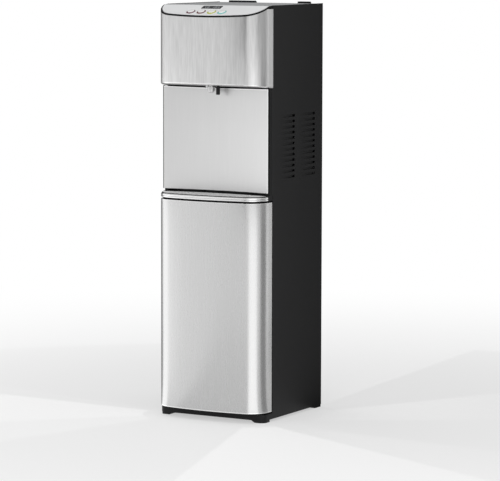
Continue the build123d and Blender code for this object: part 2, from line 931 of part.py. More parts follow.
def make_drip_tray():
    """Shallow basin with a ledge for the grille."""
    rim = band_top - skin
    ledge = band_top - grille_recess - grille_thickness
    basin = tray_outline(0, band_bottom, rim)
    basin -= grille_plan(-fit_gap, ledge, rim + 1)
    return basin - grille_plan(tray_wall, band_bottom + tray_floor, rim)


def make_tray_band():
    """Bright band round the tray's front, wrapped to the ends."""
    outer = front_solid(0, band_bottom, band_top, band_end_y)
    hollow = front_solid(skin, band_bottom - 1, band_top - skin, frame_rear_y)
    throat = front_solid(skin + 1.6, band_bottom - 1, band_top + 1, frame_rear_y)
    return outer - hollow - throat


def grille_slots():
    """Middles of the drain slots, row by row."""
    columns = int(2 * (half - corner_radius / 2) / slot_pitch_x)
    middle_y = (front_y + bay_front_y) / 2
    places = []
    for row in range(slot_rows):
        y = middle_y + (row - (slot_rows - 1) / 2) * slot_pitch_y
        for column in range(columns):
            places.append(((column - (columns - 1) / 2) * slot_pitch_x, y))
    return places


def make_drip_grille():
    """Flat plate with rows of drain slots."""
    z1 = band_top - grille_recess
    z0 = z1 - grille_thickness
    plate = grille_plan(0, z0, z1)
    slots = [
        block(x - slot_width / 2, x + slot_width / 2, y - slot_length / 2, y + slot_length / 2, z0 - 1, z1 + 1)
        for x, y in grille_slots()
    ]
    return plate - slots


def make_door_skin():
    """Curved stainless door face with its top and bottom edges folded in."""
    outer = front_solid(0, door_bottom, door_top, door_rear_y)
    hollow = front_solid(skin, door_bottom + skin, door_top - skin, frame_rear_y)
    throat = front_solid(door_hem, door_bottom - 1, door_top + 1, frame_rear_y)
    return outer - hollow - throat


def make_door_liner():
    """Inner door moulding: flat back, curved rim, ribs and hinge bosses."""
    z0 = door_bottom + skin + fit_gap
    z1 = door_top - skin - fit_gap
    gap = skin + fit_gap
    outer = front_solid(gap, z0, z1, door_rear_y)
    hollow = front_solid(gap + door_wall, z0 + door_wall, z1 - door_wall, door_rear_y - door_wall)
    open_front = block(-half + corner_radius / 2, half - corner_radius / 2, front_y, door_rear_y - door_wall,
                       z0 + door_wall, z1 - door_wall)
    liner = outer - hollow - open_front
    step = (z1 - z0) / (rib_count + 1)
    for i in range(rib_count):
        z = z0 + (i + 1) * step
        liner += front_solid(gap, z - rib_thickness / 2, z + rib_thickness / 2, door_rear_y - door_wall / 2)
    for boss_z in (z0, z1 - boss_length):
        boss = flat_bar((pivot_x, pivot_y, boss_z), (pivot_x, pivot_y, boss_z + boss_length), boss_radius, 16)
        liner += boss & outer
    bore = pin_radius + bearing_gap
    liner -= bar((pivot_x, pivot_y, z0 - 1), (pivot_x, pivot_y, z0 + pin_length + 1), bore)
    liner -= bar((pivot_x, pivot_y, z1 - pin_length - 1), (pivot_x, pivot_y, z1 + 1), bore)
    for z in magnet_heights():
        x0, x1 = magnet_span()
        liner -= block(x0 - fit_gap, x1 + fit_gap, door_rear_y - door_wall - 1, door_rear_y + 1,
                       z - magnet_height / 2 - fit_gap, z + magnet_height / 2 + fit_gap)
    return liner


def magnet_heights():
    """Middle heights of the two door magnets."""
    return (door_bottom + magnet_inset, door_top - magnet_inset)


def magnet_span():
    """Left and right ends of a magnet, over the right-hand post."""
    middle = half - post_width / 2
    return middle - magnet_width / 2, middle + magnet_width / 2


def make_door_magnets():
    """Two magnets let into the door's free edge."""
    x0, x1 = magnet_span()
    face = frame_front_y - strike_thickness - seat_gap
    return [
        block(x0, x1, face - magnet_depth, face, z - magnet_height / 2, z + magnet_height / 2)
        for z in magnet_heights()
    ]


def make_strike_plates():
    """Steel plates on the frame for the magnets."""
    x0, x1 = magnet_span()
    reach = magnet_height / 2 + strike_margin
    return [
        block(x0, x1, frame_front_y - strike_thickness, frame_front_y, z - reach, z + reach)
        for z in magnet_heights()
    ]


def make_hinge_brackets():
    """Plates through the frame, each with a pin for the door."""
    brackets = []
    x0 = -half + bracket_inset
    x1 = x0 + bracket_width
    tail_x = -inner_half + panel_return + 1
    for z, up in ((upper_bracket_z, False), (lower_bracket_z, True)):
        z1 = z + bracket_thickness
        fold_low, fold_high = (z, z + bracket_fold) if up else (z1 - bracket_fold, z1)
        plate = block(x0, x1, pivot_y - bracket_reach, frame_rear_y, z, z1)
        plate += block(tail_x, x1, frame_front_y, frame_rear_y + bracket_thickness, z, z1)
        plate += block(tail_x, x1, frame_rear_y, frame_rear_y + bracket_thickness, fold_low, fold_high)
        if up:
            collar_top = door_bottom - seat_gap
            plate += flat_bar((pivot_x, pivot_y, z1), (pivot_x, pivot_y, collar_top), collar_radius, 16)
            plate += bar((pivot_x, pivot_y, z), (pivot_x, pivot_y, door_bottom + pin_length), pin_radius)
        else:
            plate += bar((pivot_x, pivot_y, door_top - pin_length), (pivot_x, pivot_y, z1), pin_radius)
        brackets.append(plate)
    return brackets


def filter_places():
    """Middles of the two filters on plan."""
    return [(-filter_spacing / 2, filter_y), (filter_spacing / 2, filter_y)]


head_top_z = lower_shelf_z - filter_top_drop
head_bottom_z = head_top_z - head_height


def make_filter_bracket():
    """Folded plate on the partition from which the filter heads hang."""
    edge = filter_spacing / 2 + head_radius + 10
    y = filter_places()[0][1]
    plate = block(-edge, edge, y - head_radius, partition_y, head_top_z, head_top_z + bracket_sheet)
    top = head_top_z + bracket_upstand
    plate += block(-edge, edge, partition_y - bracket_sheet, partition_y, head_top_z, top)
    for x in (-edge, edge - bracket_sheet):
        gusset = Polygon((partition_y, head_top_z), (y, head_top_z), (partition_y, top), align=None)
        plate += Pos(x, 0, 0) * extrude(Plane.YZ * gusset, bracket_sheet)
    for x, y in filter_places():
        for side in (-1, 1):
            port = x + side * port_spread
            plate -= flat_hole((port, y, head_top_z - 1), (port, y, head_top_z + 3), tube_hole_radius)
    return plate


def make_filter_heads():
    """Two heads, each with a bayonet socket below and two ports above."""
    heads = []
    for x, y in filter_places():
        body = turned(x, y, [(head_bottom_z, head_radius), (head_top_z, head_radius)], round_sides)
        socket_top = head_bottom_z + neck_height + seat_gap
        body -= bar((x, y, head_bottom_z - 1), (x, y, socket_top), neck_radius + fit_gap)
        groove_top = socket_top - seat_gap
        groove = lug_height + 2 * seat_gap
        groove_radius = neck_radius + lug_reach + fit_gap
        body -= flat_hole((x, y, groove_top - groove), (x, y, groove_top), groove_radius, 24)
        reach = neck_radius + lug_reach + fit_gap
        body -= block(x - reach, x + reach, y - 8, y + 8, head_bottom_z - 1, groove_top - groove / 2)
        heads.append(body)
    return heads


def make_cartridge(place):
    """A round filter cartridge with a bayonet neck and a lug at each side of it."""
    x, y = place
    top = head_bottom_z - seat_gap
    bottom = top - filter_height
    stops = [(bottom, filter_radius - filter_foot), (bottom + filter_foot, filter_radius),
             (top - filter_shoulder, filter_radius), (top, filter_radius - filter_shoulder)]
    body = turned(x, y, stops, round_sides)
    body += bar((x, y, top - 1), (x, y, head_bottom_z + neck_height), neck_radius)
    lug_top = head_bottom_z + neck_height - seat_gap
    lugs = flat_bar((x, y, lug_top - lug_height), (x, y, lug_top), neck_radius + lug_reach, 24)
    return body + (lugs & block(x - 7, x + 7, y - 40, y + 40, lug_top - lug_height, lug_top))


def make_leak_sensor():
    """Small block on the pan's floor that shuts the inlet valve when it is wet."""
    z = foot_height + base_floor
    y = frame_rear_y + 30
    sensor = block(-20, 20, y - 12, y + 12, z, z + 10)
    return chamfer(sensor.edges().group_by(Axis.Z)[-1], 2)


valve_body_y0 = rear_panel_y - 52.0
valve_body_y1 = rear_panel_y - 14.0


def make_inlet_valve():
    """Inlet solenoid valve behind the rear panel."""
    x, z = inlet_x, fitting_z
    body = block(x - 13, x + 13, valve_body_y0, valve_body_y1, z - 13, z + 13)
    body = chamfer(body.edges().filter_by(Axis.Y), 3)
    y = (valve_body_y0 + valve_body_y1) / 2
    body += flat_bar((x, y, z + 12), (x, y, z + 16), 8)
    coil = block(x - 14, x + 14, y - 14, y + 14, z + 16, z + 44)
    return body + chamfer(coil.edges().filter_by(Axis.Z), 4)


def make_inlet_fitting():
    """Push-in bulkhead fitting for the supply tube, with a hexagonal nut on each side."""
    x, z = inlet_x, fitting_z
    face = rear_panel_y + sheet
    mouth = face + 14
    body = flat_bar((x, valve_body_y1, z), (x, mouth, z), inlet_body, 16)
    body += extrude(Plane(origin=(x, face, z), z_dir=(0, 1, 0)) * RegularPolygon(10, 6), 7)
    body += extrude(Plane(origin=(x, rear_panel_y, z), z_dir=(0, -1, 0)) * RegularPolygon(9, 6), 4)
    return body - bar((x, mouth - inlet_bore_depth, z), (x, mouth + 1, z), inlet_bore_radius)


def make_cord_gland():
    """Bushing in the rear panel where a supply cord would enter."""
    x, z = -cord_x, fitting_z
    face = rear_panel_y + sheet
    body = flat_bar((x, rear_panel_y - 6, z), (x, face + 3, z), gland_body, 16)
    body += flat_bar((x, face, z), (x, face + 3, z), gland_body + 3, 6)
    return body - bar((x, rear_panel_y - 7, z), (x, face + 4, z), gland_bore_radius)


def drain_places():
    """Place of the hot and the cold drain across and up the back."""
    return [(drain_x, drain_z), (-drain_x, cold_drain_z)]


def make_drain_outlets():
    """Two bored stubs through the rear panel."""
    stubs = []
    face = rear_panel_y + sheet
    for x, z in drain_places():
        stub = bar((x, rear_panel_y - 10, z), (x, face + 9, z), drain_radius)
        stub += block(x - 10, x + 10, rear_panel_y - 3, rear_panel_y, z - 10, z + 10)
        stubs.append(stub - bar((x, rear_panel_y - 6, z), (x, face + 10, z), drain_bore))
    return stubs


def make_drain_cap(place):
    """Round cap over a drain stub, with a plug in its bore."""
    x, z = place
    face = rear_panel_y + sheet
    end = face + 9
    cap = flat_bar((x, face + seat_gap, z), (x, end + cap_wall, z), drain_radius + cap_wall, 12)
    cap -= bar((x, face, z), (x, end + bearing_gap, z), drain_radius + bearing_gap)
    return cap + flat_bar((x, end - 6, z), (x, end + 1, z), drain_bore - bearing_gap)


def hollow_tank(radius, z0, z1):
    """A closed sheet tank with bevelled ends."""
    shoulders = [(z0, radius - tank_edge), (z0 + tank_edge, radius),
                 (z1 - tank_edge, radius), (z1, radius - tank_edge)]
    outer = turned(0, tank_y, shoulders, round_sides)
    inside = radius - tank_sheet
    stops = [(z0 + tank_sheet, inside - tank_edge), (z0 + tank_edge + tank_sheet / 2, inside),
             (z1 - tank_edge - tank_sheet / 2, inside), (z1 - tank_sheet, inside - tank_edge)]
    return outer - turned(0, tank_y, stops, round_sides)


def make_hot_tank():
    """Steel hot tank on three feet."""
    tank = hollow_tank(hot_tank_radius, hot_bottom, hot_top)
    foot_top = hot_bottom + tank_sheet / 2
    foot = block(hot_tank_radius - 22, hot_tank_radius - 8, -1, 1, lower_shelf_z, foot_top)
    for i in range(3):
        tank += Pos(0, tank_y, 0) * (Rot(0, 0, 90 + 120 * i) * foot)
    return tank


def make_cold_tank():
    """Stainless cold tank."""
    return hollow_tank(cold_tank_radius, upper_shelf_z + insulation_floor, cold_top())


def jacket_span():
    """Lower and upper edge of the evaporator jacket."""
    z0 = upper_shelf_z + insulation_floor + jacket_lift
    return z0, z0 + jacket_height


def make_evaporator():
    """Evaporator jacket round the cold tank."""
    z0, z1 = jacket_span()
    inner = cold_tank_radius + seat_gap
    return tank_ring(z0, z1, inner + jacket_thickness, inner)


def make_insulation():
    """Two foam halves round the cold tank, with holes for its tubes."""
    z0 = upper_shelf_z
    z1 = cold_top() + insulation_roof
    core = cold_tank_radius + seat_gap + jacket_thickness + seat_gap
    foam = block(0, insulation_half, tank_y - insulation_half, tank_y + insulation_half, z0, z1)
    foam = chamfer(foam.edges().filter_by(Axis.Z).sort_by(Axis.X)[-2:], 20)
    foam += mirrored(foam)
    foam -= turned(0, tank_y, [(z0 + insulation_floor, core), (cold_top(), core)], round_sides)
    hole = tube_hole_radius
    for x in (0, cold_drain_start):
        foam -= flat_hole((x, tank_y, z0 - 1), (x, tank_y, z0 + insulation_floor + 1), hole)
    foam -= flat_hole((-tank_inlet_x, riser_y, cold_top() - 1), (-tank_inlet_x, riser_y, z1 + 1), hole)
    x = valve_xs["cold"]
    foam -= flat_hole((x, tank_y - insulation_half - 1, valve_inlet_z), (x, tank_y, valve_inlet_z), hole)
    for x, z in ((suction_x, suction_z()), (capillary_x, capillary_z())):
        foam -= flat_hole((x, tank_y, z), (x, rear_panel_y, z), suction_radius + tube_clearance)
    saw = fit_gap / 2
    left = foam & block(-half, -saw, front_y, depth, z0, z1)
    right = foam & block(saw, half, front_y, depth, z0, z1)
    return [left, right]


def suction_z():
    """Height at which the suction line leaves the evaporator."""
    return jacket_span()[0] + 15


def capillary_z():
    """Height at which the capillary enters the evaporator."""
    return jacket_span()[1] - 15


def make_heater():
    """Band heater round the hot tank, with two thermostats on the tank's front."""
    z0 = hot_bottom + heater_lift
    z1 = hot_top - heater_drop
    inner = hot_tank_radius + fit_gap
    band = tank_ring(z0, z1, inner + heater_thickness, inner)
    lug_y = tank_y - inner - heater_thickness
    band += block(-9, 9, lug_y - 10, lug_y + 1.5, z0 + 8, z1 - 8)
    solids = [band]
    for x in (-16, 16):
        reach = sqrt(hot_tank_radius**2 - (abs(x) - thermostat_radius) ** 2)
        y = tank_y - reach - fit_gap
        z = hot_top - thermostat_drop
        solids.append(flat_bar((x, y - thermostat_depth, z), (x, y, z), thermostat_radius, 16))
    return solids


def cold_top():
    """Height of the cold tank's lid."""
    return upper_shelf_z + insulation_floor + cold_tank_height


def inlet_route():
    """Inlet valve, up behind the partition, over it to the first filter head."""
    x, y = inlet_x, filter_places()[1][1]
    z = head_top_z + port_rise + 2
    return [
        (x, valve_body_y0, fitting_z),
        (x, partition_y + 16, fitting_z),
        (x, partition_y + 16, z),
        (x, y, z),
        (x, y, head_top_z),
    ]


def over_z():
    """Height of the tube that crosses above the insulation."""
    return cold_top() + insulation_roof + over_tank


def make_water_tubes():
    """All water tubes: filtered feed, tank links, valve feeds and drains."""
    (x0, y0), (x1, y1) = filter_places()
    top = head_top_z
    over = top + port_rise
    z = valve_inlet_z
    hot_x, cold_x = valve_xs["hot"], valve_xs["cold"]
    cold_bottom = upper_shelf_z + insulation_floor
    drain_y = rear_panel_y - 10
    turn_y = rear_panel_y - 26
    inlet, outlet = x1 - port_spread, x0 + port_spread
    filter_link = [(inlet, y1, top), (inlet, y1, over), (outlet, y0, over), (outlet, y0, top)]
    feed_x = x0 - port_spread
    riser = [
        (feed_x, y0, top), (feed_x, y0, over), (-corridor_x, riser_y, over), (-corridor_x, riser_y, over_z()),
        (-tank_inlet_x, riser_y, over_z()), (-tank_inlet_x, riser_y, cold_top()),
    ]
    hot_port = hot_tank_radius - hot_port_inset
    hot_feed = [
        (hot_port, tank_y, hot_top), (hot_port, tank_y, hot_top + port_rise / 2),
        (hot_x, front_tube_y, hot_top + port_rise / 2), (hot_x, front_tube_y, z), (hot_x, wall_front_y, z),
    ]
    cold_drain = [
        (cold_drain_start, tank_y, cold_bottom), (cold_drain_start, tank_y, cold_drain_z),
        (-drain_x, turn_y, cold_drain_z), (-drain_x, drain_y, cold_drain_z),
    ]
    away = Vector(drain_x, turn_y - tank_y).normalized() * (hot_tank_radius + seat_gap)
    hot_drain = [(away.X, tank_y + away.Y, drain_z), (drain_x, turn_y, drain_z), (drain_x, drain_y, drain_z)]
    routes = [inlet_route(), filter_link, hot_feed, cold_drain, hot_drain] + outlet_routes()
    tubes = [pipe(route, water_tube_radius, water_bend) for route in routes]
    branch = straight_tube((-corridor_x, wall_front_y, z), (-corridor_x, riser_y, z))
    tubes.append(pipe(riser, water_tube_radius, water_bend) + branch)
    reach = sqrt(cold_tank_radius**2 - (abs(cold_x) - water_tube_radius) ** 2)
    tubes.append(straight_tube((cold_x, wall_front_y, z), (cold_x, tank_y - reach - seat_gap, z)))
    tubes.append(straight_tube((0, tank_y, hot_top), (0, tank_y, cold_bottom)))
    return tubes


def straight_tube(start, end):
    """A straight eight-sided water tube."""
    first = Vector(*start)
    run = Vector(*end) - first
    return extrude(Plane(origin=first, z_dir=run) * RegularPolygon(water_tube_radius, 8), run.length)


def outlet_routes():
    """Routes from the valves down to the two outlets; the room valve's tube joins the cold outlet."""
    y = wall_front_y - valve_size / 2
    outlet_top = underside(outlet_y) + shell_gap + outlet_shank
    middle = (valve_z + outlet_top) / 2
    routes = []
    for name, x in (("cold", cold_outlet_x), ("hot", hot_outlet_x)):
        start = valve_xs[name]
        end = (x, outlet_y, outlet_top)
        routes.append([(start, y, valve_z), (start, y, middle), (x, outlet_y, middle), end])
    room = valve_xs["room"]
    joint_x = valve_xs["cold"] - water_tube_radius
    high = valve_z - 12
    routes.append([(room, y, valve_z), (room, y, high), (joint_x, y, high)])
    return routes


def compressor_studs():
    """Places of the four rubber mounts."""
    x, y, _ = compressor_middle()
    dx, dy = stud_spacing_x / 2, stud_spacing_y / 2
    return [(x - dx, y - dy), (x - dx, y + dy), (x + dx, y - dy), (x + dx, y + dy)]


def compressor_middle():
    """Plan middle and plate height of the compressor."""
    y = (partition_y + side_rear_y) / 2 + compressor_offset
    z = foot_height + base_floor + seat_height + grommet_height
    return compressor_shift, y, z


def make_compressor():
    """Welded round shell on a foot plate, with a terminal cover and two stubs."""
    x, y, z = compressor_middle()
    w, d = compressor_plate_length / 2, compressor_plate_depth / 2
    plate = block(x - w, x + w, y - d, y + d, z, z + compressor_plate)
    plate = chamfer(plate.edges().filter_by(Axis.Z), 7)
    for sx, sy in compressor_studs():
        plate -= flat_hole((sx, sy, z - 1), (sx, sy, z + compressor_plate + 1), stud_radius + 1, 8)
    base = z + compressor_plate
    top = base + compressor_height
    shell = turned(x, y, [(base, compressor_radius), (top - shoulder_height, compressor_radius),
                          (top, compressor_radius - shoulder_width)], round_sides)
    seam = base + seam_rise
    seam_radius = compressor_radius + seam_reach
    seam_stops = [(seam - seam_width / 2, seam_radius), (seam + seam_width / 2, seam_radius)]
    shell += turned(x, y, seam_stops, round_sides)
    side = x + compressor_radius
    low = base + terminal_rise
    w = terminal_width / 2
    shell += block(side - 8, side + terminal_reach, y - w, y + w, low, low + terminal_height)
    return plate + shell


def make_compressor_mounts():
    """Four rubber grommets with studs and nuts through the compressor's plate."""
    mounts = []
    _, _, z = compressor_middle()
    top = z + compressor_plate
    for x, y in compressor_studs():
        mount = flat_bar((x, y, z - grommet_height), (x, y, z), grommet_radius)
        mount += flat_bar((x, y, z - 1), (x, y, top + 6), stud_radius, 8)
        mount += flat_bar((x, y, top), (x, y, top + 3), 2 * stud_radius, 6)
        mounts.append(mount)
    return mounts


condenser_y = depth / 2 - 2 * wire_radius - condenser_tube_radius
condenser_base = rear_panel_bottom + condenser_lift
condenser_top = switch_z - condenser_drop
condenser_pitch = (condenser_top - condenser_base) / (condenser_runs - 1)
discharge_x = condenser_half + condenser_pitch / 2 + 10
coil_start = condenser_half + 8


def condenser_route():
    """The serpentine tube from its start at the top right to its tail at the left."""
    points = [(coil_start, condenser_y, condenser_top)]
    edge = condenser_half + condenser_pitch / 2
    for run in range(condenser_runs - 1):
        z = condenser_top - run * condenser_pitch
        side = -edge if run % 2 == 0 else edge
        points += [(side, condenser_y, z), (side, condenser_y, z - condenser_pitch)]
    points += [(-edge, condenser_y, condenser_base), (-edge, condenser_y, condenser_base - condenser_tail)]
    return points


def make_condenser_coil():
    """Serpentine tube of the condenser."""
    return pipe(condenser_route(), condenser_tube_radius, condenser_pitch / 2 - 8)


def make_condenser_wires():
    """Two layers of wires that the coil lies between, on two rails."""
    solids = []
    low = condenser_base - 20
    high = condenser_top + 20
    offset = condenser_tube_radius + wire_radius
    for i in range(wire_count):
        x = -condenser_half + 2 * condenser_half * i / (wire_count - 1)
        for side in (-1, 1):
            y = condenser_y + side * offset
            solids.append(block(x - wire_radius, x + wire_radius, y - wire_radius, y + wire_radius, low, high))
    rail_front = rear_panel_y + sheet
    rail_rear = condenser_y - offset - wire_radius
    end = coil_start
    for z in (condenser_base + condenser_pitch / 2, condenser_top - condenser_pitch / 2):
        h = rail_height / 2
        rail = block(-end, end, rail_front, rail_rear, z - h, z + h)
        h -= rail_sheet
        rail -= block(-end - 1, end + 1, rail_front - 1, rail_rear - rail_sheet, z - h, z + h)
        solids.append(rail)
    return solids


def make_refrigerant_lines():
    """Discharge, liquid, suction and capillary lines, with the filter-drier."""
    x, y, z = compressor_middle()
    top = z + compressor_plate + compressor_height
    tail_x = -condenser_half - condenser_pitch / 2
    tail_z = condenser_base - condenser_tail
    low_z = rear_panel_bottom - 14
    drier_y = rear_panel_y - 22
    drier_z = rear_panel_bottom + 14
    drier_top = drier_z + drier_length
    discharge = [
        (x + 20, y - 16, top), (x + 20, y - 16, top + 24), (discharge_x, condenser_y, top + 24),
        (discharge_x, condenser_y, condenser_top), (coil_start, condenser_y, condenser_top),
    ]
    liquid = [(tail_x, condenser_y, tail_z), (tail_x, condenser_y, low_z), (tail_x, drier_y, low_z),
              (tail_x, drier_y, drier_z)]
    jacket = cold_tank_radius + seat_gap + jacket_thickness
    suction_start = tank_y + sqrt(jacket**2 - (suction_x - suction_radius) ** 2) + seat_gap
    suction = [
        (suction_x, suction_start, suction_z()), (suction_x, rear_corridor_y, suction_z()),
        (suction_x, rear_corridor_y, over_compressor()), (x, y, over_compressor()), (x, y, top),
    ]
    capillary_start = tank_y + sqrt(jacket**2 - (capillary_x - capillary_radius) ** 2) + seat_gap
    capillary = [
        (capillary_x, capillary_start, capillary_z()), (capillary_x, rear_corridor_y, capillary_z()),
        (capillary_x, rear_corridor_y, drier_top + 16), (tail_x, drier_y, drier_top + 16),
        (tail_x, drier_y, drier_top),
    ]
    neck = drier_radius - 4
    stops = [(drier_z, neck), (drier_z + 4, drier_radius), (drier_top - 4, drier_radius), (drier_top, neck)]
    return [
        pipe(discharge, condenser_tube_radius, line_bend),
        pipe(liquid, condenser_tube_radius, line_bend),
        pipe(suction, suction_radius, water_bend),
        pipe(capillary, capillary_radius, 6.0),
        turned(tail_x, drier_y, stops, 16),
    ]


def make_control_box():
    """Power board housing on the back of the partition, with cooling fins on its lid."""
    y0 = partition_y + shelf_sheet
    y1 = y0 + control_box_depth
    w = control_box_length / 2
    h = control_box_height / 2
    z = (over_compressor() + lower_shelf_z) / 2 - control_box_shift
    box = block(-w, w, y0, y1, z - h, z + h)
    box = chamfer(box.edges().filter_by(Axis.Y), 3)
    h = fin_height / 2
    for i in range(fin_count):
        x = (i - (fin_count - 1) / 2) * fin_pitch
        box += block(x - fin_width / 2, x + fin_width / 2, y1 - 1, y1 + fin_reach, z - h, z + h)
    return box


def over_compressor():
    """Height of the suction line's level run above the compressor."""
    return compressor_middle()[2] + compressor_plate + compressor_height + suction_rise


def switch_window():
    """Half width and half height of the switch frame's body."""
    return switch_spacing / 2 + rocker_width / 2 + 4, rocker_height / 2 + 3


def rocker_places():
    """Middles of the two rockers across the back."""
    return (switch_x - switch_spacing / 2, switch_x + switch_spacing / 2)


def make_switch_frame():
    """Bezel that holds the two rocker switches in the rear panel."""
    w, h = switch_window()
    face = rear_panel_y + sheet
    w -= fit_gap
    h -= fit_gap
    bezel = block(switch_x - w, switch_x + w, face - 16, face + 1, switch_z - h, switch_z + h)
    flange = block(switch_x - w - 3, switch_x + w + 3, face, face + 2, switch_z - h - 3, switch_z + h + 3)
    bezel += chamfer(flange.edges().group_by(Axis.Y)[-1], 0.8)
    clear = rocker_height / 2 + 0.7
    for x in rocker_places():
        r = rocker_width / 2 + seat_gap
        bezel -= block(x - r, x + r, face - 13, face + 3, switch_z - clear, switch_z + clear)
        bezel -= bar((x - r - 1.5, rocker_axis_y(), switch_z), (x + r + 1.5, rocker_axis_y(), switch_z),
                     rocker_pin_radius + bearing_gap)
    return bezel


def rocker_axis_y():
    return rear_panel_y + sheet


def make_rocker(x):
    """A rocker with a shallow hollow face, tipped to its on position."""
    tall = rocker_height / 2
    outline = Polygon((3.4, -tall), (1.6, 0), (3.4, tall), (0, tall - 0.4), (-6, tall - 4), (-6, 4 - tall),
                      (0, 0.4 - tall), align=None)
    body = extrude(Plane.YZ * outline, rocker_width / 2, both=True)
    r = rocker_width / 2 + seat_gap + 1.2
    body += bar((-r, 0, 0), (r, 0, 0), rocker_pin_radius)
    return Pos(x, rocker_axis_y(), switch_z) * (Rot(-rocker_tilt, 0, 0) * body)


def build_nodes():
    """Every piece by name."""
    right_panel = make_side_panel()
    buttons = button_places()
    rockers = rocker_places()
    filters = filter_places()
    cold_shank = cold_outlet_radius - 3
    hot_shank = hot_outlet_radius - 1
    return {
        "base_moulding": make_base_moulding(),
        "feet": make_feet(),
        "left_side_panel": mirrored(right_panel),
        "right_side_panel": right_panel,
        "rear_panel": make_rear_panel(),
        "top_cover": make_top_cover(),
        "rear_clips": make_rear_clips(),
        "front_frame": make_front_frame(),
        "partition": make_partition(),
        "lower_shelf": make_lower_shelf(),
        "upper_shelf": make_upper_shelf(),
        "head_shell": make_head_shell(),
        "head_fascia": make_head_fascia(),
        "head_trim": make_head_trim(),
        "control_panel": make_control_panel(),
        "display_window": make_display_window(),
        "display_board": make_display_board(),
        "lock_button": make_button(buttons[0]),
        "hot_button": make_button(buttons[1]),
        "room_button": make_button(buttons[2]),
        "cold_button": make_button(buttons[3]),
        "cold_outlet": make_outlet(cold_outlet_x, cold_outlet_radius, cold_outlet_drop, cold_shank, 3),
        "hot_outlet": make_outlet(hot_outlet_x, hot_outlet_radius, hot_outlet_drop, hot_shank, 1),
        "dispensing_valves": make_valves(),
        "bay_panel": make_bay_panel(),
        "tray_support": make_tray_support(),
        "drip_tray": make_drip_tray(),
        "tray_band": make_tray_band(),
        "drip_grille": make_drip_grille(),
        "door_skin": make_door_skin(),
        "door_liner": make_door_liner(),
        "door_magnets": make_door_magnets(),
        "strike_plates": make_strike_plates(),
        "hinge_brackets": make_hinge_brackets(),
        "filter_bracket": make_filter_bracket(),
        "filter_heads": make_filter_heads(),
        "sediment_cartridge": make_cartridge(filters[1]),
        "carbon_cartridge": make_cartridge(filters[0]),
        "leak_sensor": make_leak_sensor(),
        "inlet_valve": make_inlet_valve(),
        "inlet_fitting": make_inlet_fitting(),
        "water_tubes": make_water_tubes(),
        "hot_tank": make_hot_tank(),
        "band_heater": make_heater(),
        "cold_tank": make_cold_tank(),
        "evaporator_jacket": make_evaporator(),
        "cold_insulation": make_insulation(),
        "drain_outlets": make_drain_outlets(),
        "hot_drain_cap": make_drain_cap(drain_places()[0]),
        "cold_drain_cap": make_drain_cap(drain_places()[1]),
        "compressor": make_compressor(),
        "compressor_mounts": make_compressor_mounts(),
        "condenser_coil": make_condenser_coil(),
        "condenser_wires": make_condenser_wires(),
        "refrigerant_lines": make_refrigerant_lines(),
        "control_box": make_control_box(),
        "switch_frame": make_switch_frame(),
        "hot_switch": make_rocker(rockers[0]),
        "cold_switch": make_rocker(rockers[1]),
        "cord_gland": make_cord_gland(),
    }


def save_nodes(nodes):
    """One STEP file for each piece or group of like pieces."""
    os.makedirs("parts", exist_ok=True)
    for name, shape in nodes.items():
        solids = shape if isinstance(shape, list) else [shape]
        flat = [solid for item in solids for solid in item.solids()]
        whole = flat[0] if len(flat) == 1 else Compound(flat)
        export_step(whole, f"parts/{name}.step")


save_nodes(build_nodes())
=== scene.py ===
# %% [markdown]
# # A bottleless water dispenser
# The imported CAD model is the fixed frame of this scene: every solid is already in place, in metres,
# and rides on the body that it moves with. This lesson gives each solid a finish, replaces the few
# that need a smoother or richer shape, and sets up a plain studio round them.

# %% Load the frame
import json
from math import asin, atan2, cos, pi, radians, sin, sqrt, tan

import bmesh
import bpy
from mathutils import Matrix, Vector


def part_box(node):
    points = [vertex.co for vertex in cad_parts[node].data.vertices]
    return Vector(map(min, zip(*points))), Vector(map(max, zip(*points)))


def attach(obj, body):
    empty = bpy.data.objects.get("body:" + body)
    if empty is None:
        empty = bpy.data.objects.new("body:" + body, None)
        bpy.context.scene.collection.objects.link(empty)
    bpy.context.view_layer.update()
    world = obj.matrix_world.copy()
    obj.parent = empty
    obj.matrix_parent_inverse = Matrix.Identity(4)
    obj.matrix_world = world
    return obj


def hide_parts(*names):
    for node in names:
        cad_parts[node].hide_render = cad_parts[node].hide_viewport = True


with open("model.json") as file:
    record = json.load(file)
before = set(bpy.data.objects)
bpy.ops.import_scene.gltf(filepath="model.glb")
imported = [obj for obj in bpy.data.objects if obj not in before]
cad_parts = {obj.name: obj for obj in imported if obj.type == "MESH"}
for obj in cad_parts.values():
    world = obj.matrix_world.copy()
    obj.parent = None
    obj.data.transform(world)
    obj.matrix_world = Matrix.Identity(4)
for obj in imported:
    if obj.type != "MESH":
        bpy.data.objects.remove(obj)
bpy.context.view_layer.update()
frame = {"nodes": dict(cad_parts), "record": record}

# %% [markdown]
# ## The camera
# The product was photographed from its right front, a little above its middle, with a long lens.
# A long lens keeps upright edges nearly parallel. The camera's place and turn are set directly, as a
# matrix whose columns are its right, up and back directions, so nothing has to be aimed by hand.

# %% Camera
CAMERA_PLACE = Vector((3.61492, -6.32610, 1.23537))
CAMERA_AZIMUTH = radians(29.507)
CAMERA_RISE = radians(6.232)
CAMERA_ROLL = radians(0.115)
LENS = 207.05
SENSOR = 36.0


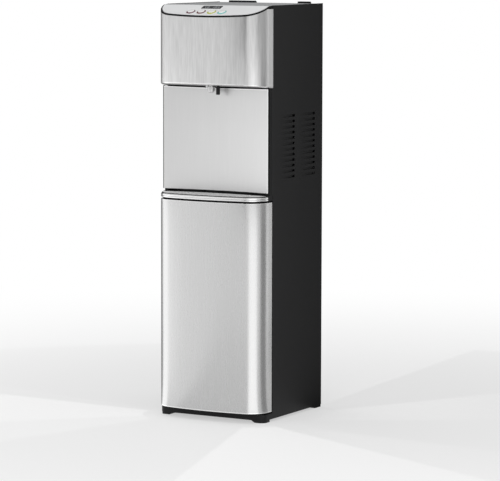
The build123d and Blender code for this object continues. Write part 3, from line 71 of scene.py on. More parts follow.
def make_camera():
    """Places the camera and makes it the scene's own."""
    level = cos(CAMERA_RISE)
    back = Vector((sin(CAMERA_AZIMUTH) * level, -cos(CAMERA_AZIMUTH) * level, sin(CAMERA_RISE)))
    right = Vector((cos(CAMERA_AZIMUTH), sin(CAMERA_AZIMUTH), 0))
    turn = Matrix.Rotation(CAMERA_ROLL, 3, back)
    right = turn @ right
    up = back.cross(right)
    data = bpy.data.cameras.new("camera")
    data.lens = LENS
    data.sensor_width = SENSOR
    data.clip_end = 200
    camera = bpy.data.objects.new("camera", data)
    bpy.context.scene.collection.objects.link(camera)
    columns = Matrix((right, up, back)).transposed()
    camera.matrix_world = Matrix.Translation(CAMERA_PLACE) @ columns.to_4x4()
    bpy.context.scene.camera = camera


make_camera()
print("camera distance to the origin:", round(CAMERA_PLACE.length, 3))

# %% [markdown]
# ## Shader maths
# A finish that varies over a surface is a formula. Blender writes formulas as Math nodes, which are
# slow to place one by one. The class below wraps one socket and overloads the signs that this lesson
# uses, so `1 - mask * 0.4` adds its nodes by itself. Every other node comes from one method, which
# takes the node's type, its settings and the values of its sockets.


# %% Values and finishes
class Value:
    """A number or colour that varies over a surface. Arithmetic on it adds Math nodes."""

    def __init__(self, finish, socket):
        self.finish = finish
        self.socket = socket

    def math(self, operation, *terms):
        return self.finish.node("Math", {"operation": operation}, dict(enumerate(terms)))

    def __add__(self, other):
        return self.math("ADD", self, other)

    def __rsub__(self, other):
        return self.math("SUBTRACT", other, self)

    def __mul__(self, other):
        return self.math("MULTIPLY", self, other)

    def __gt__(self, other):
        return self.math("GREATER_THAN", self, other)

    __radd__ = __add__
    __rmul__ = __mul__


class Finish:
    """One material, and the nodes that make it."""

    def __init__(self, name, colour, roughness, metallic=0.0):
        self.material = bpy.data.materials.new(name)
        self.material.use_nodes = True
        self.tree = self.material.node_tree
        self.shader = self.tree.nodes["Principled BSDF"]
        self.set("Base Color", (*colour, 1))
        self.set("Roughness", roughness)
        self.set("Metallic", metallic)

    def node(self, kind, settings=None, sockets=None, out=0):
        """Adds a node: its settings first, then the values or links of its sockets."""
        made = self.tree.nodes.new("ShaderNode" + kind)
        for key, setting in (settings or {}).items():
            setattr(made, key, setting)
        for key, value in (sockets or {}).items():
            self.feed(made.inputs[key], value)
        return Value(self, made.outputs[out])

    def feed(self, socket, value):
        """Links a Value, or sets a plain number or colour."""
        if isinstance(value, Value):
            self.tree.links.new(value.socket, socket)
        else:
            socket.default_value = value

    def set(self, name, value):
        self.feed(self.shader.inputs[name], value)

    def place(self, scale=(1, 1, 1)):
        """Object coordinates, squeezed or stretched by a Mapping node."""
        where = self.node("TexCoord", out="Object")
        return self.node("Mapping", sockets={"Vector": where, "Scale": scale})

    def noise(self, scale, detail=2.0, where=None):
        """Smooth random values between 0 and 1."""
        sockets = {"Vector": where or self.place(), "Scale": scale, "Detail": detail}
        return self.node("TexNoise", sockets=sockets)

    def blend(self, mask, first, second):
        """One colour where the mask is 0 and another where it is 1."""
        sockets = {0: mask, 6: (*first, 1), 7: (*second, 1)}
        return self.node("Mix", {"data_type": "RGBA"}, sockets, out=2)

    def bump(self, height, depth):
        """A small relief. Depth is in metres."""
        self.set("Normal", self.node("Bump", sockets={"Height": height, "Distance": depth}))


# %% [markdown]
# ## Brushed stainless steel
# The door, the head and the bay's back are thin stainless sheet with an upright brushed grain. Real
# brushing is a field of fine parallel scratches, each a little brighter or duller than the next.
# Noise that is squeezed along X and Y and stretched along Z gives the same grain on every upright
# face, whichever way that face is turned. It feeds the colour, the roughness and a very fine bump.
# A folded edge catches more light than the face beside it, so a narrow strip along it is painted brighter: a
# painted highlight.

# %% Stainless steel
GRAIN = (330, 330, 16)
WIDE_GRAIN = (70, 70, 2)
SHORT_GRAIN = (360, 360, 26)
SHORT_WIDE_GRAIN = (110, 110, 9)
# Colour of the painted highlight along folded edges.
HEM_HIGHLIGHT_COLOUR = (0.86, 0.86, 0.86)


def make_stainless(name, light, dark, roughness, relief, fine_grain=GRAIN, wide_grain=WIDE_GRAIN):
    """Brushed sheet. Light and dark are the two ends of the grain's colour."""
    steel = Finish(name, light, roughness, 1.0)
    fine = steel.noise(1.0, 3.0, steel.place(fine_grain))
    wide = steel.noise(1.0, 2.0, steel.place(wide_grain))
    grain = fine * 0.6 + wide * 0.4
    steel.colour = steel.blend(grain, dark, light)
    steel.set("Base Color", steel.colour)
    steel.set("Roughness", roughness - 0.05 + grain * 0.1)
    steel.bump(fine, relief)
    return steel


def paint_hem_highlight(finish, direction, limit, shine=HEM_HIGHLIGHT_COLOUR):
    """Paints a highlight: gives a finish the lighter colour shine where it lies further along a direction
    than the limit.
    """
    sockets = {0: finish.place(), 1: direction}
    along = finish.node("VectorMath", {"operation": "DOT_PRODUCT"}, sockets, out="Value")
    sockets = {0: along > limit, 6: finish.colour, 7: (*shine, 1)}
    finish.colour = finish.node("Mix", {"data_type": "RGBA"}, sockets, out=2)
    finish.set("Base Color", finish.colour)


head_steel = make_stainless("head_steel", (0.78, 0.78, 0.78), (0.42, 0.42, 0.42), 0.30, 0.00003,
                            SHORT_GRAIN, SHORT_WIDE_GRAIN)
door_steel = make_stainless("door_steel", (0.595, 0.595, 0.595), (0.545, 0.545, 0.545), 0.27, 0.00001)
bay_steel = make_stainless("bay_steel", (0.68, 0.68, 0.68), (0.62, 0.62, 0.62), 0.42, 0.00001)
print("steel finishes:", len(bpy.data.materials))

# %% [markdown]
# ## Painted, moulded and plain metal finishes
# The other pieces have ordinary finishes. Powder coat has a faint orange peel. Moulded plastic has a
# fine grain, and galvanised sheet shows its spangle. One helper makes them all: a base colour that
# drifts a little between two near tones, a roughness that drifts with it, and a bump at the
# scale of the real surface.


# %% Plain finishes
def plain_finish(name, colour, roughness, metallic=0.0, grain=900.0, relief=0.00002, drift=0.06,
                 coat=0.0, shine=0.5):
    """A finish whose colour and roughness drift a little, with a fine relief."""
    finish = Finish(name, colour, roughness, metallic)
    finish.set("Specular IOR Level", shine)
    cloud = finish.noise(9.0, 3.0)
    darker = [value * (1 - drift) for value in colour]
    lighter = [min(1.0, value * (1 + drift)) for value in colour]
    finish.colour = finish.blend(cloud, darker, lighter)
    finish.set("Base Color", finish.colour)
    finish.set("Roughness", roughness - 0.04 + cloud * 0.08)
    finish.set("Coat Weight", coat)
    finish.bump(finish.noise(grain, 2.0), relief)
    return finish


def make_plain(name, colour, roughness, *rest, **more):
    """The material of such a finish."""
    return plain_finish(name, colour, roughness, *rest, **more).material


def make_galvanised(name):
    """Zinc-coated sheet: flat crystals that differ in brightness and gloss."""
    finish = Finish(name, (0.6, 0.61, 0.62), 0.42, 1.0)
    sockets = {"Vector": finish.place(), "Scale": 90.0}
    crystals = finish.node("TexVoronoi", {"feature": "F1"}, sockets, out="Color")
    shade = finish.node("SeparateColor", sockets={"Color": crystals})
    finish.set("Base Color", finish.blend(shade, (0.50, 0.51, 0.52), (0.68, 0.69, 0.70)))
    finish.set("Roughness", 0.34 + shade * 0.16)
    finish.bump(shade, 0.00002)
    return finish.material


finishes = {
    "black_sheet": make_plain("black_sheet", (0.0135, 0.0135, 0.014), 0.4, grain=700.0, relief=0.00003,
                              shine=0.12),
    "black_plastic": make_plain("black_plastic", (0.010, 0.010, 0.0105), 0.5, grain=1600.0, shine=0.2),
    "grey_plastic": make_plain("grey_plastic", (0.30, 0.305, 0.31), 0.55, grain=1400.0, shine=0.2),
    "light_plastic": make_plain("light_plastic", (0.70, 0.705, 0.71), 0.42, grain=1400.0, relief=0.00001),
    "white_plastic": make_plain("white_plastic", (0.78, 0.79, 0.79), 0.3, grain=1200.0, relief=0.00001),
    "window": make_plain("window", (0.012, 0.012, 0.014), 0.08, relief=0.0, coat=0.6),
    "circuit_board": make_plain("circuit_board", (0.01, 0.09, 0.035), 0.35, grain=500.0, coat=0.3),
    "button_dome": make_plain("button_dome", (0.80, 0.80, 0.80), 0.22, relief=0.000005, coat=0.4),
    "chrome": make_plain("chrome", (0.74, 0.74, 0.74), 0.16, 1.0, relief=0.000003, drift=0.02),
    "galvanised": make_galvanised("galvanised"),
    "gasket": make_plain("gasket", (0.006, 0.006, 0.0065), 0.6, grain=1200.0, shine=0.12),
    "silver": make_plain("silver", (0.56, 0.56, 0.56), 0.42, 1.0, relief=0.000003, drift=0.03),
    "zinc": make_plain("zinc", (0.66, 0.67, 0.69), 0.3, 1.0, grain=1200.0, relief=0.000005),
    "foam": make_plain("foam", (0.78, 0.74, 0.6), 0.85, grain=260.0, relief=0.0004),
    "tube": make_plain("tube", (0.72, 0.74, 0.78), 0.25, relief=0.000005, coat=0.3),
    "copper": make_plain("copper", (0.62, 0.30, 0.19), 0.34, 1.0, drift=0.15),
    "rubber": make_plain("rubber", (0.02, 0.02, 0.02), 0.72, grain=1200.0, relief=0.00004),
    "black_paint": make_plain("black_paint", (0.015, 0.015, 0.016), 0.3, grain=300.0, relief=0.00005,
                              coat=0.3),
    "magnet": make_plain("magnet", (0.06, 0.06, 0.065), 0.55, 0.6, grain=900.0, relief=0.00005),
    "brass_fitting": make_plain("brass_fitting", (0.62, 0.46, 0.2), 0.28, 1.0),
}
print("finishes:", len(finishes))

# %% [markdown]
# ## Giving the CAD solids their finishes
# The record names a material slot for every solid. The CAD meshes stay as they are: only what is in
# their material slots changes. Some solids share a slot but not a look, so these are named apart.

# %% Dress the CAD solids
shell_plastic = plain_finish("shell_plastic", (0.012, 0.012, 0.0125), 0.2, grain=1600.0, relief=0.000003)
grille_steel = plain_finish("grille_steel", (0.72, 0.72, 0.72), 0.5, relief=0.000005, drift=0.03, shine=0.1)
plain_steel = make_stainless("stainless", (0.70, 0.70, 0.69), (0.60, 0.60, 0.60), 0.35, 0.00003)
OWN_FINISH = {
    "door_skin": door_steel.material,
    "head_fascia": head_steel.material,
    "bay_panel": bay_steel.material,
    "head_shell": shell_plastic.material,
    "drip_grille": grille_steel.material,
}
finishes["stainless"] = plain_steel.material

slots = {part["node"]: part["material_slot"] for part in frame["record"]["subparts"]}
for name, solid in frame["nodes"].items():
    solid.data.materials.clear()
    solid.data.materials.append(OWN_FINISH.get(name, finishes[slots[name]]))
print("dressed CAD solids:", len(slots))

# %% [markdown]
# ## Turning a bmesh into a piece
# New shapes are modelled as bmeshes, with the same operators that the editor has. When a shape is
# done, its sharp edges are marked by angle so that the rest can be shaded smooth, its normals are made
# to point outwards, and it becomes an object that rides on a named body.

# %% Finish a piece
SHARP = radians(35)


def make_piece(name, bm, body, finish, stands_for=(), closed=True):
    """Turns a bmesh into an object that rides on a body."""
    bmesh.ops.remove_doubles(bm, verts=bm.verts, dist=1e-6)
    if closed:
        bmesh.ops.recalc_face_normals(bm, faces=bm.faces)
    for face in bm.faces:
        face.smooth = True
    for edge in bm.edges:
        edge.smooth = edge.is_manifold and edge.calc_face_angle(0) < SHARP
    mesh = bpy.data.meshes.new(name)
    bm.to_mesh(mesh)
    bm.free()
    mesh.materials.append(finish)
    piece = bpy.data.objects.new(name, mesh)
    bpy.context.scene.collection.objects.link(piece)
    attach(piece, body)
    if stands_for:
        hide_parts(*stands_for)
    return piece


def only(kind, geometry):
    """The items of one kind from what an operator returned."""
    return [item for item in geometry if isinstance(item, kind)]


# %% [markdown]
# ## The curved front
# Seen from above, the door, the head and the tray's band share one line: a shallow crown between
# two round corners. A sheet along it could be cut from a solid, but a row of points that is spun
# round each arc's centre gives even, smooth faces. Each path starts at the left rear, goes round the
# left corner, along the crown and round the right corner, and ends at the right rear. The corners
# are a little tighter than the solids' own, as the product's outline in the photograph is.

# %% Paths along the front
HALF = 0.1524
FRONT_Y = -0.17145
CROWN = 0.740
CORNER = 0.051
CROWN_STEPS = 48
CORNER_STEPS = 20
UP = Vector((0, 0, 1))


def swept(bm, start, centre, angle, steps):
    """Spins a point round an upright axis and returns the new points in order."""
    before = set(bm.verts)
    bmesh.ops.spin(bm, geom=[start], cent=centre, axis=UP, angle=angle, steps=steps)
    row = [vert for vert in bm.verts if vert not in before]
    return sorted(row, key=lambda vert: (vert.co - start.co).length)


def front_path(bm, inset, height, rear_y):
    """One open row of points along the curved front, joined by edges."""
    side = HALF - inset
    corner = CORNER - inset
    corner_x = side - corner
    reach = CROWN - inset - corner
    crown_y = FRONT_Y + CROWN
    corner_y = crown_y - sqrt(reach**2 - corner_x**2)
    lean = asin(corner_x / reach)
    points = [bm.verts.new((-side, rear_y, height)), bm.verts.new((-side, corner_y, height))]
    bm.edges.new(points)
    points += swept(bm, points[-1], Vector((-corner_x, corner_y, height)), pi / 2 - lean, CORNER_STEPS)
    points += swept(bm, points[-1], Vector((0, crown_y, height)), 2 * lean, CROWN_STEPS)
    points += swept(bm, points[-1], Vector((corner_x, corner_y, height)), pi / 2 - lean, CORNER_STEPS)
    points.append(bm.verts.new((side, rear_y, height)))
    bm.edges.new(points[-2:])
    return points


def path_edges(points):
    """The edges between neighbouring points."""
    edges = []
    for first, second in zip(points, points[1:]):
        edges += [edge for edge in first.link_edges if edge.other_vert(first) == second]
    return edges


def bridge(bm, rows):
    """Joins each row of points to the next with a strip of faces."""
    for lower, upper in zip(rows, rows[1:]):
        bmesh.ops.bridge_loops(bm, edges=path_edges(lower) + path_edges(upper))


def front_sheet(stations, rear_y):
    """A curved surface through a path at each station's inset and height."""
    bm = bmesh.new()
    bridge(bm, [front_path(bm, inset, height, rear_y) for inset, height in stations])
    return bm


def thicken(bm, thickness, outside):
    """Gives a sheet its thickness, away from the side that faces the point outside."""
    bmesh.ops.recalc_face_normals(bm, faces=bm.faces)
    facing = sum(face.normal.dot(outside - face.calc_center_median()) > 0 for face in bm.faces)
    if facing < len(bm.faces) / 2:
        bmesh.ops.reverse_faces(bm, faces=bm.faces)
    bmesh.ops.solidify(bm, geom=bm.faces[:] + bm.edges[:] + bm.verts[:], thickness=thickness)


def soften(bm, edges, width, segments=3):
    """Rounds edges over."""
    bmesh.ops.bevel(bm, geom=edges, offset=width, affect="EDGES", segments=segments, profile=0.5, material=-1)


def fold_edges(bm, least):
    """Edges where two faces meet at more than the least angle."""
    return [edge for edge in bm.edges if edge.is_manifold and edge.calc_face_angle(0) > least]


# %% [markdown]
# ## The door's face
# The face is one sheet, 0.8 mm thick, whose top and bottom edges are folded in. It is drawn as four
# paths, bridged into a surface, rounded at its two folds and then given its thickness. It has more
# faces than the CAD solid, so that the reflections run smoothly.

# %% Door face
SKIN = 0.0008
FOLD_ROUND = 0.0007
DOOR_HEM = 0.004
DOOR_FOOT_HIGHLIGHT_BAND = 0.0026
DOOR_TOP_HIGHLIGHT_BAND = 0.0012
IN_FRONT = Vector((0, -3, 0.5))

low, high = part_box("door_skin")
bm = front_sheet([(DOOR_HEM, low.z), (0, low.z), (0, high.z), (DOOR_HEM, high.z)], high.y)
soften(bm, fold_edges(bm, SHARP), FOLD_ROUND)
thicken(bm, SKIN, IN_FRONT)
# Painted highlights: lighter strips along the door's foot and along its top edge.
paint_hem_highlight(door_steel, (0, 0, -1), -low.z - DOOR_FOOT_HIGHLIGHT_BAND)
paint_hem_highlight(door_steel, (0, 0, 1), high.z - DOOR_TOP_HIGHLIGHT_BAND)
door = make_piece("door_face", bm, "door", door_steel.material, ["door_skin"])
print("door face:", len(door.data.polygons), "faces")

# %% [markdown]
# ## The head's fascia
# The head's sheet follows the same line, but its lower edge slopes and its upper edge is cut by
# the sloping control panel and then runs level. A shear tilts the lower paths, and two bisecting
# planes cut the top, which is easier and truer than working out where each point would end. The
# shell behind it is black; where its underside shows below the sheet it is painted grey, as
# painted light from the bay's sheet.

# %% Head fascia
UNDERSIDE_FALL = radians(7.2)
UNDERSIDE_Z = 0.845
UNDERSIDE_PAINTED_LIGHT = (0.50, 0.50, 0.50)
DECK_Z = 1.015
COVER_Z = 1.0402
DECK_RUN = 0.060
DECK_PITCH = atan2(COVER_Z - DECK_Z, DECK_RUN)
TRIM_HEIGHT = 0.0036
FASCIA_HEM_HIGHLIGHT_BAND = 0.0028
SHELL_UNDERSIDE_LIGHT_BAND = 0.0015
ROLL = 0.0045
ROLL_STEPS = 6


def keep_below(bm, point, normal):
    """Cuts the mesh with a plane and keeps the side that the normal points away from."""
    geometry = bm.verts[:] + bm.edges[:] + bm.faces[:]
    bmesh.ops.bisect_plane(bm, geom=geometry, plane_co=point, plane_no=normal, clear_outer=True)


def slope_down(bm, points, angle):
    """Lowers points by how far they lie behind the front."""
    shear = Matrix.Identity(4)
    shear[2][1] = -tan(angle)
    shear[2][3] = tan(angle) * FRONT_Y
    bmesh.ops.transform(bm, matrix=shear, verts=points)


low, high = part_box("head_fascia")
bm = bmesh.new()
rows = []
for step in range(ROLL_STEPS + 1):
    turn = pi / 2 * step / ROLL_STEPS
    rows.append(front_path(bm, ROLL * (1 - sin(turn)), UNDERSIDE_Z + ROLL * (1 - cos(turn)), high.y))
slope_down(bm, bm.verts[:], UNDERSIDE_FALL)
rows.append(front_path(bm, 0, high.z + SKIN, high.y))
bridge(bm, rows)
deck_normal = Vector((0, -sin(DECK_PITCH), cos(DECK_PITCH)))
keep_below(bm, Vector((0, FRONT_Y, DECK_Z - TRIM_HEIGHT)), deck_normal)
keep_below(bm, Vector((0, 0, high.z)), UP)
soften(bm, fold_edges(bm, SHARP), FOLD_ROUND)
thicken(bm, SKIN, IN_FRONT)
fall = tan(UNDERSIDE_FALL)
underside = UNDERSIDE_Z + fall * FRONT_Y
# Painted highlight: a lighter strip along the fascia's lower edge.
paint_hem_highlight(head_steel, (0, -fall, -1), -underside - FASCIA_HEM_HIGHLIGHT_BAND)
# Painted light: the black shell's underside is painted grey where it shows, for the light from the bay's
# sheet.
paint_hem_highlight(shell_plastic, (0, -fall, -1), -underside - SHELL_UNDERSIDE_LIGHT_BAND, UNDERSIDE_PAINTED_LIGHT)
fascia = make_piece("fascia", bm, "cabinet", head_steel.material, ["head_fascia"])
print("fascia:", len(fascia.data.polygons), "faces")

# %% [markdown]
# ## The bay's back
# The sheet behind the bay is dished: from above it is a long arc that is deepest in the middle, with
# a narrow fold at each side. The arc is spun about a centre far in front of it. The sheet ends a
# little below the head, so that a dark line shows over it.

# %% Bay panel
BAY_DISH = 0.015
BAY_FOLD = 0.008
BAY_GAP = 0.0030
BAY_TOP_HIGHLIGHT_BAND = 0.0022
BAY_SIDE_HIGHLIGHT_BAND = 0.0035
BAY_STEPS = 40


def bay_path(bm, height):
    """One row of points across the bay: fold, arc, fold."""
    low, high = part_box("bay_panel")
    radius = (high.x**2 + BAY_DISH**2) / (2 * BAY_DISH)
    centre = Vector((0, low.y + BAY_DISH - radius, height))
    points = [bm.verts.new((low.x, low.y + BAY_FOLD, height)), bm.verts.new((low.x, low.y, height))]
    bm.edges.new(points)
    points += swept(bm, points[-1], centre, -2 * asin(high.x / radius), BAY_STEPS)
    points.append(bm.verts.new((high.x, low.y + BAY_FOLD, height)))
    bm.edges.new(points[-2:])
    return points


low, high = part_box("bay_panel")
bm = bmesh.new()
bridge(bm, [bay_path(bm, low.z), bay_path(bm, high.z + BAY_FOLD)])
underside_normal = Vector((0, sin(UNDERSIDE_FALL), cos(UNDERSIDE_FALL)))
keep_below(bm, Vector((0, FRONT_Y, UNDERSIDE_Z - BAY_GAP)), underside_normal)
soften(bm, fold_edges(bm, SHARP), FOLD_ROUND)
thicken(bm, SKIN, IN_FRONT)
# Painted highlights: lighter strips along the sheet's top edge and along its right edge.
paint_hem_highlight(bay_steel, (0, fall, 1), underside - BAY_GAP - BAY_TOP_HIGHLIGHT_BAND)
paint_hem_highlight(bay_steel, (1, 0, 0), high.x - BAY_SIDE_HIGHLIGHT_BAND)
bay = make_piece("bay_back", bm, "cabinet", bay_steel.material, ["bay_panel"])
print("bay back:", len(bay.data.polygons), "faces")

# %% [markdown]
# ## The bay's dark edge strips
# A thin black strip at each side of the bay's sheet stands in for the shadow in the gap there: painted
# shade. Edge on, the left one is the dark upright line beside the sheet, and it laps over the sheet's
# edge a little.

# %% Bay edge strips of painted shade
SHADE_STRIP_DEPTH = 0.0085
SHADE_STRIP_PROUD = 0.0004
SHADE_STRIP_DROP = 0.0015
SHADE_STRIP_GAP = 0.0001
SHADE_STRIP_LAP = 0.0008
SHADE_STRIP_ROUND = 0.0002

shade_strip_front = low.y - SHADE_STRIP_PROUD
shade_strip_top = UNDERSIDE_Z - fall * (low.y - FRONT_Y) - SHADE_STRIP_DROP
sheet_edge = high.x + SHADE_STRIP_GAP
cabinet_side = HALF - SHADE_STRIP_GAP
bm = bmesh.new()
for left, right in ((-cabinet_side, SHADE_STRIP_LAP - sheet_edge), (sheet_edge, cabinet_side)):
    size = Vector((right - left, SHADE_STRIP_DEPTH, shade_strip_top - low.z))
    middle = Vector((left, shade_strip_front, low.z)) + size / 2
    block = bmesh.ops.create_cube(bm, size=1)["verts"]
    bmesh.ops.scale(bm, vec=size, verts=block)
    bmesh.ops.translate(bm, vec=middle, verts=block)
soften(bm, bm.edges[:], SHADE_STRIP_ROUND, 2)
# Painted shade: two black strips where the gaps beside the bay's sheet are in shadow.
make_piece("bay_side_shade_strips", bm, "cabinet", finishes["gasket"])
print("bay edge shade strips: 2")

# %% [markdown]
# ## The drip tray's band
# The band round the tray's front is polished and has two rounded beads, which is what draws its two
# bright lines. Half a sine wave gives each bead's section, and a lip is turned in on top. The band
# ends below the tray's black rim, so that the rim is a dark line between the band and the grille.

# %% Tray band
LIP = 0.0009
BAND_SPARE = 0.020
BAND_FOOT = 0.0002
BAND_DROP = 0.0036
BEAD_DEPTH = 0.0014
BEAD_STEPS = 8


def bead(top, foot):
    """Stations down one rounded bead, as insets and heights."""
    middle, half_height = (top + foot) / 2, (top - foot) / 2
    turns = [pi * step / BEAD_STEPS for step in range(BEAD_STEPS + 1)]
    return [(BEAD_DEPTH * (1 - sin(turn)), middle + half_height * cos(turn)) for turn in turns]


low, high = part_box("tray_band")
band_top = high.z - BAND_DROP
band_foot = low.z + BAND_FOOT
groove_z = (band_foot + band_top) / 2
band_stations = [(LIP, band_top)] + bead(band_top, groove_z) + bead(groove_z, band_foot)[1:]
bm = front_sheet(band_stations, high.y + BAND_SPARE)
keep_below(bm, Vector((0, high.y, 0)), Vector((0, 1, 0)))
thicken(bm, SKIN, IN_FRONT)
band = make_piece("tray_front_band", bm, "drip_tray", finishes["chrome"], ["tray_band"])
print("tray band:", len(band.data.polygons), "faces")

# %% [markdown]
# ## Turned shapes
# Buttons, screws, cartridges and the compressor's shell are all round. Their half outline is a row of
# (radius, height) points in millimetres, and one full spin makes the solid. The spin merges its last
# step with its first, and the points on the axis are merged after it. A second helper makes blocks:
# stems, lugs, ribs and plates, each between two opposite corners in metres.


# %% Lathe
MM = 0.001


def lathe(bm, outline, place, steps=48):
    """Spins a half outline of (radius, height) points round an axis at place."""
    before = set(bm.verts)
    points = [bm.verts.new((radius * MM, 0, height * MM)) for radius, height in outline]
    geometry = points + [bm.edges.new(pair) for pair in zip(points, points[1:])]
    bmesh.ops.spin(bm, geom=geometry, cent=(0, 0, 0), axis=UP, angle=2 * pi, steps=steps, use_merge=True)
    made = [vert for vert in bm.verts if vert not in before]
    bmesh.ops.remove_doubles(bm, verts=made, dist=1e-7)
    made = [vert for vert in bm.verts if vert not in before]
    bmesh.ops.transform(bm, matrix=place, verts=made)


def box_at(bm, lowest, highest, place=Matrix.Identity(4)):
    """A block between two corners, then moved to its place."""
    lowest, highest = Vector(lowest), Vector(highest)
    size = Matrix.Diagonal((*(highest - lowest), 1))
    middle = Matrix.Translation((lowest + highest) / 2)
    return bmesh.ops.create_cube(bm, size=1, matrix=place @ middle @ size)["verts"]


# %% [markdown]
# ## The head's gasket
# A black gasket runs along the fascia's upper edge. Its section is the same all the way, but it
# climbs with the sloping panel and then becomes a level wedge beside the flat top. So each row of
# points follows the curved front on plan, and each point's height is set from how far back it is.

# %% Head gasket
TRIM_GAP = 0.0002
TRIM_WIDTH = 0.0026
TRIM_ROUND = 0.0005
TOP_Z = 1.0414


def deck_level(y):
    """Height of the sloping panel's face at a distance back, up to the flat top."""
    return min(DECK_Z + tan(DECK_PITCH) * (y - FRONT_Y), TOP_Z)


def gasket_foot(y):
    """Height of the gasket's lower edge."""
    return min(DECK_Z + tan(DECK_PITCH) * (y - FRONT_Y) - TRIM_HEIGHT, fascia_end)


low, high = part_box("head_trim")
fascia_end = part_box("head_fascia")[1].z
section = [
    (TRIM_GAP, gasket_foot, 0),
    (TRIM_GAP, deck_level, TRIM_ROUND),
    (TRIM_GAP + TRIM_ROUND, deck_level, 0),
    (TRIM_WIDTH - TRIM_ROUND, deck_level, 0),
    (TRIM_WIDTH, deck_level, TRIM_ROUND),
    (TRIM_WIDTH, gasket_foot, 0),
]
bm = bmesh.new()
rows = []
for inset, level, drop in section:
    row = front_path(bm, inset, 0, high.y)
    for vert in row:
        vert.co.z = level(vert.co.y) - drop
    rows.append(row)
bridge(bm, rows + rows[:1])
bmesh.ops.holes_fill(bm, edges=[edge for edge in bm.edges if edge.is_boundary], sides=0)
gasket = make_piece("head_gasket", bm, "cabinet", finishes["gasket"], ["head_trim"])
print("gasket:", len(gasket.data.polygons), "faces")

# %% [markdown]
# ## Buttons
# Each button is a pale dome inside a ring of its own colour. The ring falls away steeply and the dome
# sits a little behind its middle, so from low in front only the ring's near side shows, as a
# crescent. Below the panel are a square stem and a flat bar, whose ends are the button's catches.

# %% Buttons
DECK = Matrix.Translation((0, FRONT_Y, DECK_Z)) @ Matrix.Rotation(DECK_PITCH, 4, "X")
BUTTON_PITCH = 0.0298
BUTTON_SHIFT = -0.0069
BUTTON_ROW = 0.02438
RING_COLOURS = {
    "lock_button": (0.115, 0.018, 0.04),
    "hot_button": (0.13, 0.018, 0.014),
    "room_button": (0.47, 0.49, 0.05),
    "cold_button": (0.18, 0.52, 0.48),
}
CAP_SHIFT = 0.0026
cap_outline = [(0, 1.5), (3, 1.47), (6, 1.38), (7.9, 1.2), (8.5, 1.0), (8.7, 0.7), (8.7, -3.8), (0, -3.8)]
ring_outline = [(0, 0.6), (8, 0.6), (9.6, 0.55), (10.8, 0.3), (11.5, 0.0), (11.7, -0.4)]
ring_outline += [(11.7, -3.8), (0, -3.8)]

for column, (name, colour) in enumerate(RING_COLOURS.items()):
    place = DECK @ Matrix.Translation((BUTTON_SHIFT + (column - 1.5) * BUTTON_PITCH, BUTTON_ROW, 0))
    bm = bmesh.new()
    shifted = place @ Matrix.Translation((-CAP_SHIFT / 3, CAP_SHIFT, 0))
    lathe(bm, cap_outline, shifted)
    box_at(bm, (-0.0020, -0.0020, -0.0095), (0.0020, 0.0020, -0.0038), place)
    box_at(bm, (-0.0132, -0.0040, -0.0038), (0.0132, 0.0040, -0.0028), place)
    make_piece(name + "_cap", bm, name, finishes["button_dome"], [name])
    tint = make_plain(name + "_tint", colour, 0.25, relief=0.000003, drift=0.05, coat=0.3)
    bm = bmesh.new()
    lathe(bm, ring_outline, place)
    make_piece(name + "_ring", bm, name, tint)
print("buttons:", len(RING_COLOURS))

# %% [markdown]
# ## The display
# The display shows two plain numbers. Each digit is made of up to seven bars, and a small table says
# which bars each digit lights. The bars lie just in the window's face, and glow faintly.

# %% Display digits
BARS = {
    "top": ((0, 4), (1, 0)), "middle": ((0, 0), (1, 0)), "bottom": ((0, -4), (1, 0)),
    "upper_left": ((-2, 2), (0, 1)), "upper_right": ((2, 2), (0, 1)),
    "lower_left": ((-2, -2), (0, 1)), "lower_right": ((2, -2), (0, 1)),
}
LIT = {
    "0": ("top", "bottom", "upper_left", "upper_right", "lower_left", "lower_right"),
    "1": ("upper_right", "lower_right"),
    "4": ("middle", "upper_left", "upper_right", "lower_right"),
    "5": ("top", "middle", "bottom", "upper_left", "lower_right"),
    "8": tuple(BARS),
}
WINDOW_MIDDLE = (-0.0053, 0.05225)
DIGIT_PLACES = {"4": -18.5, "0": -10.5, "1": 3.0, "8": 11.0, "5": 19.0}
DIGIT_STRETCH = 1.25
BAR_ACROSS = 1.6
BAR_UP = 2.1
BAR_HALF = 0.45
BAR_PROUD = 0.00005

digits = Finish("display_digits", (0.30, 0.32, 0.33), 0.4)
digits.set("Roughness", 0.35 + digits.noise(400.0) * 0.1)
digits.set("Emission Color", digits.blend(digits.noise(120.0), (0.20, 0.21, 0.22), (0.25, 0.26, 0.27)))
digits.shader.inputs["Emission Strength"].default_value = 0.5

lift = Vector((0, 0, BAR_PROUD))
bm = bmesh.new()
for digit, offset in DIGIT_PLACES.items():
    for bar in LIT[digit]:
        (x, y), (across, up) = BARS[bar]
        middle = Vector((*WINDOW_MIDDLE, 0)) + Vector((offset + x, y * DIGIT_STRETCH, 0)) * MM
        reach = Vector((BAR_ACROSS * across + BAR_HALF * up, BAR_UP * up + BAR_HALF * across, 0)) * MM
        box_at(bm, middle - reach - lift * 4, middle + reach + lift, DECK)
make_piece("display_digits", bm, "cabinet", digits.material)
print("display bars:", sum(len(LIT[digit]) for digit in DIGIT_PLACES))

# %% [markdown]
# ## Round tubes
# A bent tube is a circle that is pushed along its straights and spun round its bends. The spin
# operator does both: with an angle of zero and a step it pushes, and with a centre and an angle it
# turns. The circle that comes out of one call is what goes into the next.


